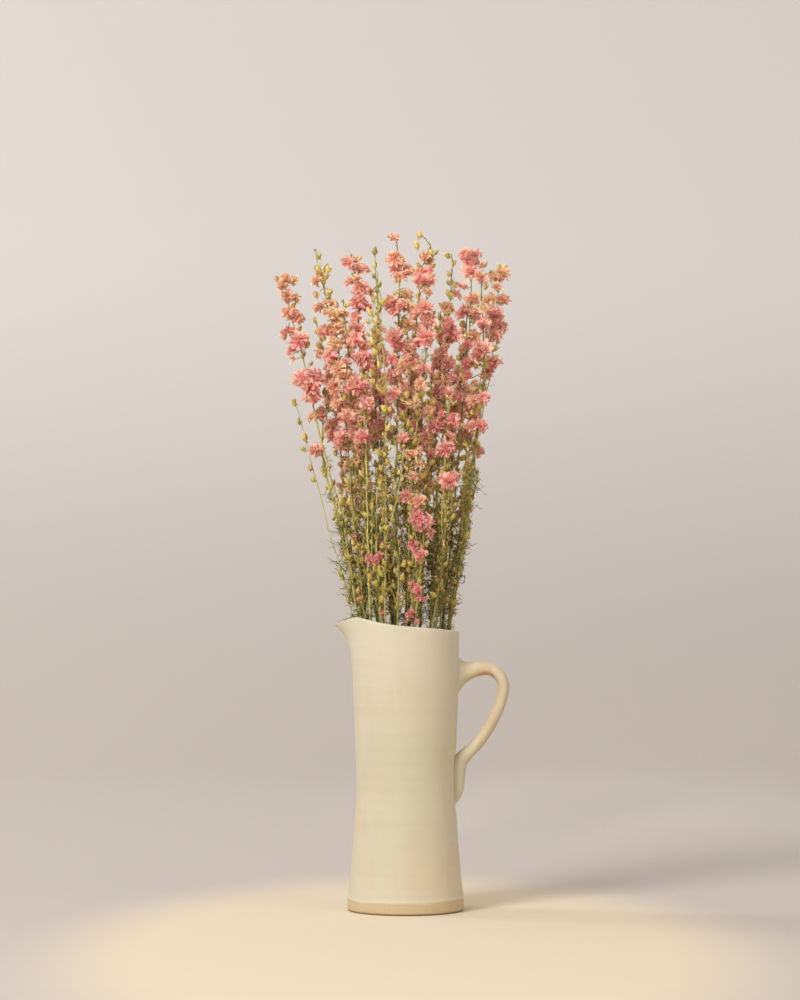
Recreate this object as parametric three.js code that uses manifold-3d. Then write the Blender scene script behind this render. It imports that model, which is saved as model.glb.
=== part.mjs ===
// A bunch of dried delphinium stems standing in a tall stoneware pouring jug.
// Millimetres, +Z up. The origin is the centre of the jug's underside. The spout points to -X, the handle
// to +X, and -Y is the side that the bunch shows to the room.

import * as THREE from 'three';
import { mergeVertices } from 'three/addons/utils/BufferGeometryUtils.js';
import Module from 'manifold-3d';

const wasm = await Module();
wasm.setup();

// Driving sizes of the jug
const JUG_HEIGHT = 284; // rim height at the middle, between spout and handle
const RIM_SLOPE = 8; // the rim rises this much at the spout and drops as much at the handle
const RIM_DIP = 3.5; // how far the rim sinks halfway round, at the front and back
const RIM_DIP_LEAN = 0.9; // how much nearer the spout than the handle it sinks
const FOOT_RADIUS = 58;
const WAIST_RADIUS = 48.8;
const RIM_RADIUS = 53.6;
const WALL = 4.6;
const FLOOR_THICKNESS = 7;
const SPOUT_REACH = 18.8; // how far the spout's tip stands out from the round of the rim
const SPOUT_DIP = 9.5; // how far the tip lies under the rim's corners
const SPOUT_HALF_ANGLE = 0.25; // radians, where the spout's width has fallen off
const SPOUT_ROOT = 228; // height at which the wall begins to lean out to the spout
const SPOUT_LEAN_POWER = 2.2; // how late the wall leans out
const SPOUT_DIP_POWER = 4;
const SLOPE_ROOT = 120; // height from which the rim's slope is taken up
const JUG_SIDES = 32;
const SPOUT_SIDE_DRAW = 0.45; // how far the sides are drawn together at the spout
const STRAP_THICKNESS = 12.5;
const STRAP_WIDTH = 19;
const STRAP_STEPS = 16;

// Driving sizes of the bunch
const TOUCHING_GAP = 0.3;
const STALK_RADIUS = 1.25;
const STALK_SIDES = 5;
const STALK_STEPS = 8;
const UPRIGHT_FOOT = 4; // the cut end of a stalk stands upright for this length
const MOUTH_HEIGHT = 290; // where the stems leave the jug
const BUNCH_TOP = 640;
const FOOT_GATHER = 0.38; // how close the stalks' feet stand, against their places in the mouth
const TOP_SPREAD = 2.5; // how wide the bunch opens at its top, against the mouth
const FLORET_FILL = 0.72; // the solid core of a floret, against the reach of its loose petals
const FLORET_ASIDE = 0.85; // how far a floret's centre stands from its stalk, against its reach
const FLORET_RISE = 0.5; // how far a floret's centre stands above its root, against its reach
const SMALLEST_FLORET = 5;
const SMALLEST_BUD = 3.5;

// The place from which the front of the bunch was measured
const EYE = new THREE.Vector3(-5.6, -2436, 262.4);

// Colours
const CLAY = 0xddd2b6;
const BUD_GREEN = 0xa49b4a;
const PETAL_PINK = 0xd98084;

// Stems that are seen from the front. mouth is the stem's depth in the jug's mouth, - being nearer the front.
// stalk lists its course above the mouth as [x, z], as seen from the front in the plane of the jug's axis.
// florets are [x, z, reach of the petals], buds are [x, z, radius].
const SEEN_STEMS = [
  {
    name: 'flower_stem_01', mouth: -9,
    stalk: [[-49, 296], [-65, 396], [-76, 433], [-92, 498], [-106, 563], [-117, 600], [-122, 636]],
    florets: [
      [-121, 631, 8], [-113, 629, 5], [-119, 614, 6], [-111, 611, 5], [-119, 597, 7], [-108, 592, 7],
      [-119, 577, 7], [-107, 570, 9], [-115, 558, 5], [-97, 528, 13], [-97, 514, 8],
    ],
    buds: [[-130, 631, 4]],
  },
  {
    name: 'flower_stem_02', mouth: -3,
    stalk: [[-44.5, 296], [-56, 338], [-68, 388], [-76, 418], [-84, 455], [-83, 480], [-80, 496], [-81, 517]],
    florets: [[-95, 491, 5], [-86, 495, 7], [-90, 458, 8]],
    buds: [[-81, 517, 3.5], [-75, 515, 3.5], [-77, 503, 4]],
  },
  {
    name: 'bud_stem_01', mouth: 0,
    stalk: [[-54, 296], [-63, 333], [-76, 373], [-88, 423], [-95, 445], [-102, 476], [-112, 508]],
    florets: [],
    buds: [[-112, 506, 5], [-107, 487, 4], [-102, 471, 4], [-103, 459, 4], [-95, 440, 4.5]],
  },
  {
    name: 'flower_stem_03', mouth: -23,
    stalk: [[-41.5, 296], [-45, 328], [-54, 408], [-59, 478], [-65, 513], [-67, 553], [-76, 593], [-92, 661]],
    florets: [
      [-90, 629, 5], [-72, 605, 5], [-88, 602, 5], [-70, 593, 9], [-81, 578, 7], [-68, 580, 8], [-72, 565, 9],
      [-76, 551, 9], [-66, 538, 11], [-73, 525, 6], [-70, 506, 6], [-59, 491, 9], [-46, 485, 5],
    ],
    buds: [[-87, 654, 3.5], [-88, 640, 6], [-78, 640, 4], [-80, 633, 5], [-76, 618, 5], [-91, 615, 4]],
  },
  {
    name: 'flower_stem_04', mouth: -28,
    stalk: [[-35.5, 296], [-38, 388], [-40, 471], [-42, 508], [-44, 548], [-48, 578], [-46, 605], [-55, 655]],
    florets: [
      [-58, 648, 6], [-47, 643, 5], [-40, 641, 5], [-52, 628, 6], [-44, 622, 8], [-46, 605, 10],
      [-49, 582, 8], [-49, 569, 9], [-44, 551, 10], [-36, 540, 6], [-52, 523, 10], [-39, 505, 9],
      [-46, 471, 8], [-66, 471, 8],
    ],
    buds: [[-46, 652, 4.5]],
  },
  {
    name: 'bud_stem_02', mouth: -41,
    stalk: [[-20.5, 296], [-20, 348], [-20, 448], [-20, 528], [-24, 571], [-25, 598], [-29, 618], [-31, 662]],
    florets: [],
    buds: [
      [-31, 634, 3.5], [-33, 610, 3.5], [-26, 601, 4], [-35, 597, 3.5], [-28, 578, 4], [-27, 545, 4],
      [-34, 526, 6], [-24, 519, 6],
    ],
  },
  {
    name: 'flower_stem_05', mouth: -20,
    stalk: [[-10.5, 296], [-10, 388], [-9, 458], [-8, 513], [-8, 553], [-7, 593], [-6, 646], [-10, 672]],
    florets: [
      [-12, 670, 6], [-10, 653, 10], [-4, 634, 6], [1, 641, 5], [1, 614, 7], [-16, 605, 9], [3, 602, 7],
      [4, 583, 8], [-11, 571, 10], [2, 562, 6],
    ],
    buds: [[-7, 618, 4]],
  },
  {
    name: 'flower_stem_06', mouth: -30,
    stalk: [[1.5, 296], [4, 348], [10, 468], [14, 508], [22, 568], [21, 601], [22, 633], [25, 663], [14, 677]],
    florets: [
      [18, 653, 7], [17, 633, 10], [24, 632, 6], [22, 618, 5], [21, 601, 9], [22, 588, 7], [9, 595, 5],
      [20, 573, 9], [-1, 543, 10], [18, 540, 7], [14, 523, 6],
    ],
    buds: [[14, 676, 3.5], [11, 665, 3.5], [26, 658, 4], [7, 640, 4], [13, 645, 4]],
  },
  {
    name: 'flower_stem_07', mouth: -16,
    stalk: [[25.5, 296], [27, 338], [34, 448], [39, 488], [42, 568], [45, 608], [47, 642], [46, 656]],
    florets: [
      [53, 616, 5], [41, 602, 7], [44, 583, 6], [48, 573, 9], [34, 573, 6], [43, 545, 7], [46, 530, 5],
      [41, 515, 7],
    ],
    buds: [
      [42, 655, 4], [49, 647, 4.5], [43, 627, 4], [51, 625, 5], [43, 617, 3.5], [37, 555, 4], [38, 530, 4],
    ],
  },
  {
    name: 'flower_stem_08', mouth: 3,
    stalk: [
      [38.5, 296], [46, 368], [51, 428], [55, 468], [58, 508], [60, 538], [64, 578], [66, 618], [64, 660],
    ],
    florets: [
      [64, 656, 10], [64, 640, 9], [56, 596, 8], [70, 611, 7], [70, 597, 5], [69, 573, 7], [52, 512, 6],
    ],
    buds: [[78, 645, 4]],
  },
  {
    name: 'flower_stem_09', mouth: -15,
    stalk: [[44, 290], [54, 343], [61, 388], [67, 438], [72, 478], [77, 508], [79, 533], [78, 578], [76, 634]],
    florets: [
      [76, 632, 8], [86, 610, 7], [79, 586, 5], [77, 561, 10], [62, 545, 7], [68, 506, 8], [78, 510, 7],
      [77, 482, 5], [67, 483, 5],
    ],
    buds: [[71, 546, 5], [68, 519, 3.5], [66, 496, 3.5]],
  },
  {
    name: 'flower_stem_10', mouth: 6,
    stalk: [[46, 290], [54, 338], [64, 408], [74, 478], [82, 518], [87, 546], [88, 578], [92, 608], [97, 640]],
    florets: [
      [97, 636, 8], [88, 633, 6], [99, 610, 6], [88, 592, 11], [97, 583, 5], [91, 575, 7], [87, 546, 8],
    ],
    buds: [],
  },
  {
    name: 'flower_stem_11', mouth: -25,
    stalk: [[31.5, 296], [34, 348], [37, 408], [40, 458], [43, 496], [46, 511], [50, 520], [56, 533]],
    florets: [[49, 488, 8], [36, 493, 5], [29, 483, 8], [41, 460, 8]],
    buds: [[52, 551, 3.5], [52, 542, 3.5], [56, 533, 3.5]],
  },
  {
    name: 'flower_stem_12', mouth: -36,
    stalk: [[8.5, 296], [8, 388], [9, 428], [5, 458], [1, 488], [2, 516]],
    florets: [[9, 505, 7], [-3, 470, 6], [4, 453, 6], [13, 444, 6], [7, 430, 6]],
    buds: [[1, 514, 4], [-3, 495, 4], [3, 486, 4], [6, 478, 4], [19, 434, 6], [20, 418, 4]],
  },
  {
    name: 'flower_stem_13', mouth: -34,
    stalk: [[28, 290], [35, 328], [39, 368], [41, 408], [44, 436]],
    florets: [[43, 427, 9]],
    buds: [[51, 402, 5], [48, 392, 4]],
  },
  {
    name: 'flower_stem_14', mouth: -44,
    stalk: [[10, 290], [12, 308], [15, 338], [18, 368], [16, 412]],
    florets: [
      [4, 410, 7], [15, 405, 5], [11, 391, 9], [21, 385, 9], [25, 374, 6], [9, 361, 8], [15, 351, 5],
      [11, 316, 6], [4, 294, 5],
    ],
    buds: [],
  },
  {
    name: 'flower_stem_15', mouth: -12.5,
    stalk: [[-42, 296], [-44, 328], [-48, 368], [-52, 408], [-57, 450]],
    florets: [[-59, 443, 5], [-52, 417, 8]],
    buds: [[-49, 370, 4], [-45, 403, 3.5]],
  },
  {
    name: 'flower_stem_16', mouth: -33,
    stalk: [[-25, 290], [-26, 313], [-28, 338], [-29, 372]],
    florets: [[-36, 348, 5], [-23, 351, 5]],
    buds: [[-29, 370, 4], [-29, 339, 6], [-33, 328, 4], [-22, 319, 4]],
  },
  {
    name: 'bud_stem_03', mouth: -38,
    stalk: [[-8, 290], [-7, 328], [-6, 360]],
    florets: [],
    buds: [[-10, 353, 3.5], [-2, 344, 3.5], [-10, 337, 3.5], [-12, 322, 3.5], [-4, 303, 4.5]],
  },
  {
    name: 'bud_stem_04', mouth: -11,
    stalk: [[35.5, 290], [38, 318], [44, 348]],
    florets: [],
    buds: [[37, 317, 3.5], [31, 308, 3.5], [43, 344, 3.5]],
  },
  {
    name: 'bud_stem_05', mouth: -4.5,
    stalk: [[45.5, 298], [52, 328], [58, 362], [63, 392], [68, 412], [73, 434]],
    florets: [],
    buds: [[72, 428, 3.5], [67, 413, 3.5], [63, 398, 3.5]],
  },
  {
    name: 'bud_stem_06', mouth: 9,
    stalk: [[-49, 296], [-53, 318], [-58, 348], [-62, 378], [-66, 404]],
    florets: [],
    buds: [[-68, 391, 3.5], [-61, 375, 4], [-61, 355, 4]],
  },
];

// Stems of the middle and the back. mouth is their place in the jug's mouth as [x, y], top their height,
// count the number of their florets.
const HIDDEN_STEMS = [
  { mouth: [-40, 18], top: 622, count: 9 },
  { mouth: [-29, 29], top: 588, count: 8 },
  { mouth: [-27, 8], top: 641, count: 10 },
  { mouth: [-27, -10], top: 560, count: 8 },
  { mouth: [-14, 20], top: 654, count: 10 },
  { mouth: [-12, 2], top: 606, count: 9 },
  { mouth: [0, 30], top: 614, count: 9 },
  { mouth: [2, 12], top: 662, count: 10 },
  { mouth: [4, -10], top: 578, count: 9 },
  { mouth: [15, 22], top: 636, count: 9 },
  { mouth: [15, 0], top: 628, count: 9 },
  { mouth: [28, 30], top: 596, count: 8 },
  { mouth: [27, 12], top: 648, count: 10 },
  { mouth: [38, 19], top: 618, count: 9 },
  { mouth: [14, -22], top: 556, count: 7 },
  { mouth: [-22, -21], top: 570, count: 7 },
];
const FLORET_PITCH = 17; // height between one floret and the next below
const FLORET_TURN = 2.4; // radians round the stalk from one floret to the next
const TIP_FLORET = 4.5;
const FULL_FLORET = 9.5;
const FLORET_GROWTH = 0.75; // each floret down the stem is this much larger, until full size

// Geometry helpers

// Turns a closed geometry into a solid. Faces that have shrunk to a line at a pole are left out.
function solidOf(geometry) {
  geometry.deleteAttribute('normal');
  geometry.deleteAttribute('uv');
  const merged = mergeVertices(geometry, 1e-4);
  const index = merged.index.array;
  const triangles = [];
  for (let i = 0; i < index.length; i += 3) {
    const [a, b, c] = [index[i], index[i + 1], index[i + 2]];
    if (a !== b && b !== c && c !== a) triangles.push(a, b, c);
  }
  const vertProperties = new Float32Array(merged.attributes.position.array);
  const triVerts = new Uint32Array(triangles);
  return new wasm.Manifold(new wasm.Mesh({ numProp: 3, vertProperties, triVerts }));
}

function meshOf(name, solid, material) {
  const { numProp, vertProperties, triVerts } = solid.getMesh();
  const positions = new Float32Array((vertProperties.length / numProp) * 3);
  for (let i = 0; i < positions.length / 3; i++) {
    for (let k = 0; k < 3; k++) positions[3 * i + k] = vertProperties[numProp * i + k];
  }
  const geometry = new THREE.BufferGeometry();
  geometry.setAttribute('position', new THREE.BufferAttribute(positions, 3));
  geometry.setIndex(new THREE.BufferAttribute(triVerts, 1));
  geometry.computeVertexNormals();
  const mesh = new THREE.Mesh(geometry, material);
  mesh.name = name;
  return mesh;
}

// The jug

// Leans a turned form's upper part into the slanting rim and pulls out the spout.
function pullSpout(geometry) {
  const position = geometry.attributes.position;
  const vertex = new THREE.Vector3();
  for (let i = 0; i < position.count; i++) {
    vertex.fromBufferAttribute(position, i);
    const radius = Math.hypot(vertex.x, vertex.y);
    // The angle is measured from the spout, and the sides are drawn closer together there
    const even = Math.atan2(vertex.y, -vertex.x);
    const angle = even - SPOUT_SIDE_DRAW * Math.sin(even);
    const spout = Math.exp(-((angle / SPOUT_HALF_ANGLE) ** 2));
    const level = Math.min(vertex.z, JUG_HEIGHT);
    const dip = RIM_DIP * Math.sin(angle) ** 2 * (1 + RIM_DIP_LEAN * Math.cos(angle));
    const slope = RIM_SLOPE * Math.cos(angle) - dip;
    const raised = slope * THREE.MathUtils.smoothstep(level, SLOPE_ROOT, JUG_HEIGHT);
    const lean = Math.max(0, (level - SPOUT_ROOT) / (JUG_HEIGHT - SPOUT_ROOT));
    const pull = spout * THREE.MathUtils.smoothstep(radius, 0, WAIST_RADIUS - WALL);
    const pulled = radius + pull * SPOUT_REACH * lean ** SPOUT_LEAN_POWER;
    const height = vertex.z + raised - pull * SPOUT_DIP * lean ** SPOUT_DIP_POWER;
    position.setXYZ(i, -pulled * Math.cos(angle), pulled * Math.sin(angle), height);
  }
  return geometry;
}

function turned(profile) {
  const points = profile.map(([radius, height]) => new THREE.Vector2(radius, height));
  return new THREE.LatheGeometry(points, JUG_SIDES).rotateX(Math.PI / 2);
}

function jugOutside() {
  return solidOf(pullSpout(turned([
    [0, 0], [FOOT_RADIUS - 3, 0], [FOOT_RADIUS, 3.5], [FOOT_RADIUS, 9], [54.8, 36], [50.4, 90],
    [WAIST_RADIUS, 124], [50.6, 175], [52.8, 222], [RIM_RADIUS, 246], [RIM_RADIUS, 262],
    [RIM_RADIUS, 274], [RIM_RADIUS, JUG_HEIGHT], [0, JUG_HEIGHT],
  ])));
}

function jugHollow() {
  const above = JUG_HEIGHT + 12;
  return solidOf(pullSpout(turned([
    [0, FLOOR_THICKNESS], [44, FLOOR_THICKNESS], [49.5, 13], [49.8, 36], [50.4 - WALL, 90],
    [WAIST_RADIUS - WALL, 124], [50.6 - WALL, 175], [52.8 - WALL, 222], [RIM_RADIUS - WALL, 246],
    [RIM_RADIUS - WALL, 262], [RIM_RADIUS - WALL, 274], [RIM_RADIUS - WALL + 0.6, JUG_HEIGHT],
    [RIM_RADIUS - WALL + 0.6, above], [0, above],
  ])));
}

// The strap handle: an oval section along its course, from inside the wall at the top to the pressed tail
function handle() {
  const course = new THREE.CatmullRomCurve3([
    [46, 229], [56, 235.5], [65.5, 238], [77.5, 239], [87, 237.2], [94.4, 231.2], [97.6, 222.4], [95.4, 209],
    [87.6, 189], [77, 171.5], [67, 160.2], [58.6, 152.6], [53.4, 144], [51.6, 132], [50.4, 120], [45, 104],
  ].map(([x, z]) => new THREE.Vector3(x, 0, z)));
  const section = new THREE.Shape();
  section.absellipse(0, 0, STRAP_WIDTH / 2, STRAP_THICKNESS / 2, 0, 2 * Math.PI);
  const options = { steps: STRAP_STEPS, curveSegments: 5, bevelEnabled: false, extrudePath: course };
  return solidOf(new THREE.ExtrudeGeometry(section, options));
}

function jug() {
  const material = new THREE.MeshStandardMaterial({ color: CLAY, roughness: 0.75, metalness: 0 });
  return meshOf('jug', jugOutside().add(handle()).subtract(jugHollow()), material);
}

// The stems

// How wide the bunch is at a height, against its width in the jug's mouth
function fanAt(z) {
  if (z < MOUTH_HEIGHT) return THREE.MathUtils.lerp(FOOT_GATHER, 1, Math.max(0, z) / MOUTH_HEIGHT);
  return THREE.MathUtils.lerp(1, TOP_SPREAD, (z - MOUTH_HEIGHT) / (BUNCH_TOP - MOUTH_HEIGHT));
}

// Moves a place seen from the front back or forward along the line of sight
function seenAt(x, z, depth) {
  const along = (depth - EYE.y) / -EYE.y;
  return new THREE.Vector3(EYE.x + (x - EYE.x) * along, depth, EYE.z + (z - EYE.z) * along);
}

// A stalk runs from the jug's floor to the mouth, and then along its own course
function stalkCourse(above) {
  const floor = FLOOR_THICKNESS + TOUCHING_GAP;
  const mouth = above[0];
  const foot = new THREE.Vector3(mouth.x * FOOT_GATHER, mouth.y * FOOT_GATHER, floor);
  const upright = foot.clone().setZ(floor + UPRIGHT_FOOT);
  const curve = new THREE.CatmullRomCurve3([foot, upright, ...above], false, 'centripetal');
  return curve.getSpacedPoints(STALK_STEPS);
}

// The stalk's solid needs its own rings at exactly the course's points
class Polyline extends THREE.Curve {
  constructor(points) {
    super();
    this.points = points;
  }

  getPoint(t) {
    const place = t * (this.points.length - 1);
    const low = Math.min(Math.floor(place), this.points.length - 2);
    return this.points[low].clone().lerp(this.points[low + 1], place - low);
  }

  getPointAt(t) {
    return this.getPoint(t);
  }

  getTangentAt(t) {
    const step = 0.5 / (this.points.length - 1);
    const ahead = this.getPoint(Math.min(1, t + step));
    if (t === 0) return new THREE.Vector3(0, 0, 1);
    return ahead.sub(this.getPoint(Math.max(0, t - step))).normalize();
  }
}

function stalkSolid(points) {
  const section = new THREE.Shape();
  for (let i = 0; i < STALK_SIDES; i++) {
    const angle = (2 * Math.PI * i) / STALK_SIDES;
    const corner = [STALK_RADIUS * Math.cos(angle), STALK_RADIUS * Math.sin(angle)];
    if (i === 0) section.moveTo(...corner);
    else section.lineTo(...corner);
  }
  const options = { steps: points.length - 1, bevelEnabled: false, extrudePath: new Polyline(points) };
  return solidOf(new THREE.ExtrudeGeometry(section, options));
}

function onStalk(points, z) {
  for (let i = 1; i < points.length; i++) {
    const [low, high] = [points[i - 1], points[i]];
    if (z <= high.z) return low.clone().lerp(high, Math.max(0, (z - low.z) / (high.z - low.z)));
  }
  return points[points.length - 1].clone().lerp(points[points.length - 2], 0.02);
}

// A floret or bud with its own short stalk: a drop that grows from a point to its full width
function drop(from, to, profile, sides) {
  const along = to.clone().sub(from);
  const points = profile.map(([radius, height]) => new THREE.Vector2(radius, height));
  const geometry = new THREE.LatheGeometry(points, sides);
  const up = new THREE.Vector3(0, 1, 0);
  geometry.applyQuaternion(new THREE.Quaternion().setFromUnitVectors(up, along.normalize()));
  geometry.translate(from.x, from.y, from.z);
  return solidOf(geometry);
}

function floretSolid(from, to, reach) {
  const length = from.distanceTo(to);
  const radius = FLORET_FILL * reach;
  const crown = [0.6 * radius, length + 0.6 * radius];
  return drop(from, to, [[0, 0], [radius, length], crown, [0, length + 0.8 * radius]], 5);
}

function budSolid(from, to, radius) {
  const length = from.distanceTo(to);
  return drop(from, to, [[0, 0], [radius, length], [0, length + 1.3 * radius]], 4);
}

// The root and centre of a floret that is seen from the front: it stands clear of the stalk, to its front
function beside(points, x, z, reach) {
  const root = onStalk(points, z - FLORET_RISE * reach);
  const sideways = seenAt(x, z, root.y).x - root.x;
  const forward = Math.sqrt(Math.max(0, (reach + STALK_RADIUS) ** 2 - sideways ** 2));
  return [root, seenAt(x, z, root.y - forward)];
}

function seenStem({ name, mouth, stalk, florets, buds }, material) {
  const points = stalkCourse(stalk.map(([x, z]) => seenAt(x, z, mouth * fanAt(z))));
  let solid = stalkSolid(points);
  for (const [x, z, reach] of florets) {
    if (reach >= SMALLEST_FLORET) solid = solid.add(floretSolid(...beside(points, x, z, reach), reach));
  }
  for (const [x, z, radius] of buds) {
    if (radius >= SMALLEST_BUD) solid = solid.add(budSolid(...beside(points, x, z, radius), radius));
  }
  return meshOf(name, solid, material);
}

function hiddenStem({ mouth: [x, y], top, count }, number, material) {
  const heights = [MOUTH_HEIGHT, 0.5 * (MOUTH_HEIGHT + top), top];
  const points = stalkCourse(heights.map((z) => new THREE.Vector3(x * fanAt(z), y * fanAt(z), z)));
  let solid = stalkSolid(points);
  for (let k = 0; k < count; k++) {
    const reach = Math.min(FULL_FLORET, TIP_FLORET + FLORET_GROWTH * k);
    const z = top - TIP_FLORET - FLORET_PITCH * k;
    const turn = number + FLORET_TURN * k;
    const aside = new THREE.Vector3(Math.cos(turn), Math.sin(turn), 0).multiplyScalar(FLORET_ASIDE * reach);
    const centre = onStalk(points, z).add(aside);
    solid = solid.add(floretSolid(onStalk(points, z - FLORET_RISE * reach), centre, reach));
  }
  const name = `flower_stem_${String(number).padStart(2, '0')}`;
  return meshOf(name, solid, material);
}

const bunch = new THREE.Group();
bunch.add(jug());
const flowering = new THREE.MeshStandardMaterial({ color: PETAL_PINK, roughness: 0.9, metalness: 0 });
const budding = new THREE.MeshStandardMaterial({ color: BUD_GREEN, roughness: 0.9, metalness: 0 });
for (const stem of SEEN_STEMS) {
  bunch.add(seenStem(stem, stem.florets.length > 0 ? flowering : budding));
}
const seenFlowering = SEEN_STEMS.filter((stem) => stem.florets.length > 0).length;
HIDDEN_STEMS.forEach((stem, i) => bunch.add(hiddenStem(stem, seenFlowering + 1 + i, flowering)));

export default bunch;
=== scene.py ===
# A bunch of dried pink delphinium stems standing loose in a tall stoneware pouring jug.
# Shapes are worked out in millimetres, +Z up, with the origin at the centre of the jug's underside, and
# written to the meshes in metres. The spout points to -X, the handle to +X, and -Y is the front.
import math

import bpy
import numpy as np
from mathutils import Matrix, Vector


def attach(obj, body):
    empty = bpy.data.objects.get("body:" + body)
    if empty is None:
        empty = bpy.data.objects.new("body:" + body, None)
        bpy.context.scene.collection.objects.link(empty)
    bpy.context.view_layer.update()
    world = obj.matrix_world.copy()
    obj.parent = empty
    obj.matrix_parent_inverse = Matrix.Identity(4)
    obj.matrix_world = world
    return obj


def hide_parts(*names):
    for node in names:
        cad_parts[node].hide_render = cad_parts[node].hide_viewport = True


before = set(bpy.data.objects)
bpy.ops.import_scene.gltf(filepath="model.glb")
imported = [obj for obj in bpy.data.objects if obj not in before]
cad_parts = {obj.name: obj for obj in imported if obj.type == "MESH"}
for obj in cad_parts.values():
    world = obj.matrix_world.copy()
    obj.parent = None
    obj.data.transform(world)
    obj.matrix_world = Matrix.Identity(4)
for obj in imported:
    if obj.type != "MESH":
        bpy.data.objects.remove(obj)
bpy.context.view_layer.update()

MM = 0.001
UP = np.array([0.0, 0.0, 1.0])

# Driving sizes of the jug
JUG_HEIGHT = 284.0  # rim height at the middle, between spout and handle
RIM_SLOPE = 8.0  # the rim rises this much at the spout and drops as much at the handle
RIM_DIP = 3.5  # how far the rim sinks halfway round, at the front and back
RIM_DIP_LEAN = 0.9  # how much nearer the spout than the handle it sinks
SLOPE_ROOT = 120.0  # height from which the rim's slope is taken up
FOOT_RADIUS = 58.0
WAIST_RADIUS = 48.8
RIM_RADIUS = 53.6
WALL = 4.6
FLOOR_THICKNESS = 7.0
FOOT_ROUNDING = 2.6
HEEL_ROUNDING = 7.0  # inside, between the wall and the floor
LIP_THINNING = 0.6
SPOUT_REACH = 18.8
SPOUT_DIP = 9.5
SPOUT_HALF_ANGLE = 0.25  # radians
SPOUT_ROOT = 228.0  # height at which the wall begins to lean out to the spout
SPOUT_LEAN_POWER = 2.2
SPOUT_DIP_POWER = 4.0
SPOUT_SIDE_DRAW = 0.45  # how far the sides are drawn together at the spout
GLAZE_EDGE = 11.5  # height of the bare foot band
GLAZE_THICKNESS = 0.35
JUG_SIDES = 150
THIN_GLAZE = (0.0805, -0.004, 0.228)  # metres: the warm spot under the bend of the handle

# Driving sizes of the bunch
STALK_RADIUS = 1.25
BUD_STEM_GIRTH = 0.7  # how thick a bud stem's stalk is, against a flowering one's
LEAF_STRIP = 0.025  # half the width of a leaf's strips, against the leaf's length
BRACT_HALF_WIDTH = 0.45
UPRIGHT_FOOT = 4.0  # the cut end of a stalk stands upright for this length
TOUCHING_GAP = 0.3
MOUTH_HEIGHT = 290.0
BUNCH_TOP = 640.0
FOOT_GATHER = 0.38  # how close the stalks' feet stand, against their places in the mouth
TOP_SPREAD = 2.5  # how wide the bunch opens at its top, against the mouth
EYE = np.array([-5.6, -2436.0, 262.4])  # the place from which the front of the bunch was measured
PETAL_SPREAD = 1.2  # how far the loose petals spread, against a floret's reach
OPENING_BUD = 4.3  # buds from this radius have begun to open
SMALL_BUD = 3.1  # buds below this radius are made with fewer points
LATE_BUDS_DOWN_TO = 395.0  # the lowest opening buds of the stems of the middle and back
FLORET_ASIDE = 0.85  # how far a floret's centre stands from its stalk, against its reach
FLORET_RISE = 0.5  # how far a floret's centre stands above its root, against its reach
FLORET_PITCH = 17.0  # height between one floret and the next below, on the stems of the middle and back
FLORET_TURN = 2.4  # radians round the stalk from one floret to the next
TIP_FLORET = 4.5
FULL_FLORET = 9.5
FLORET_GROWTH = 0.75
HALF_OPEN_BELOW = 5.0  # florets of a smaller reach are only half open
ANY_PHASE = 6.28  # radians

# Tones of florets, from a fresh pink to the green of an opening head. The second, a darker pink, is painted
# shade for florets that sit deep in the bunch.
VIVID, SHADED_PINK, DEEP, PINK, SALMON, PEACH, TAN, LIME = -0.1, 0.09, 0.18, 0.31, 0.46, 0.62, 0.8, 1.0
# Tones of buds
OLIVE, GREEN, YELLOW, AMBER, BLUSH = 0.0, 0.3, 0.55, 0.8, 1.0
# Tones of the heads of a stem of the middle or back, from its tip down: still green and tan, then pink
HEAD_TONES = [LIME, TAN, PEACH, SALMON, PINK, PINK, SALMON, PINK, PEACH]

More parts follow.
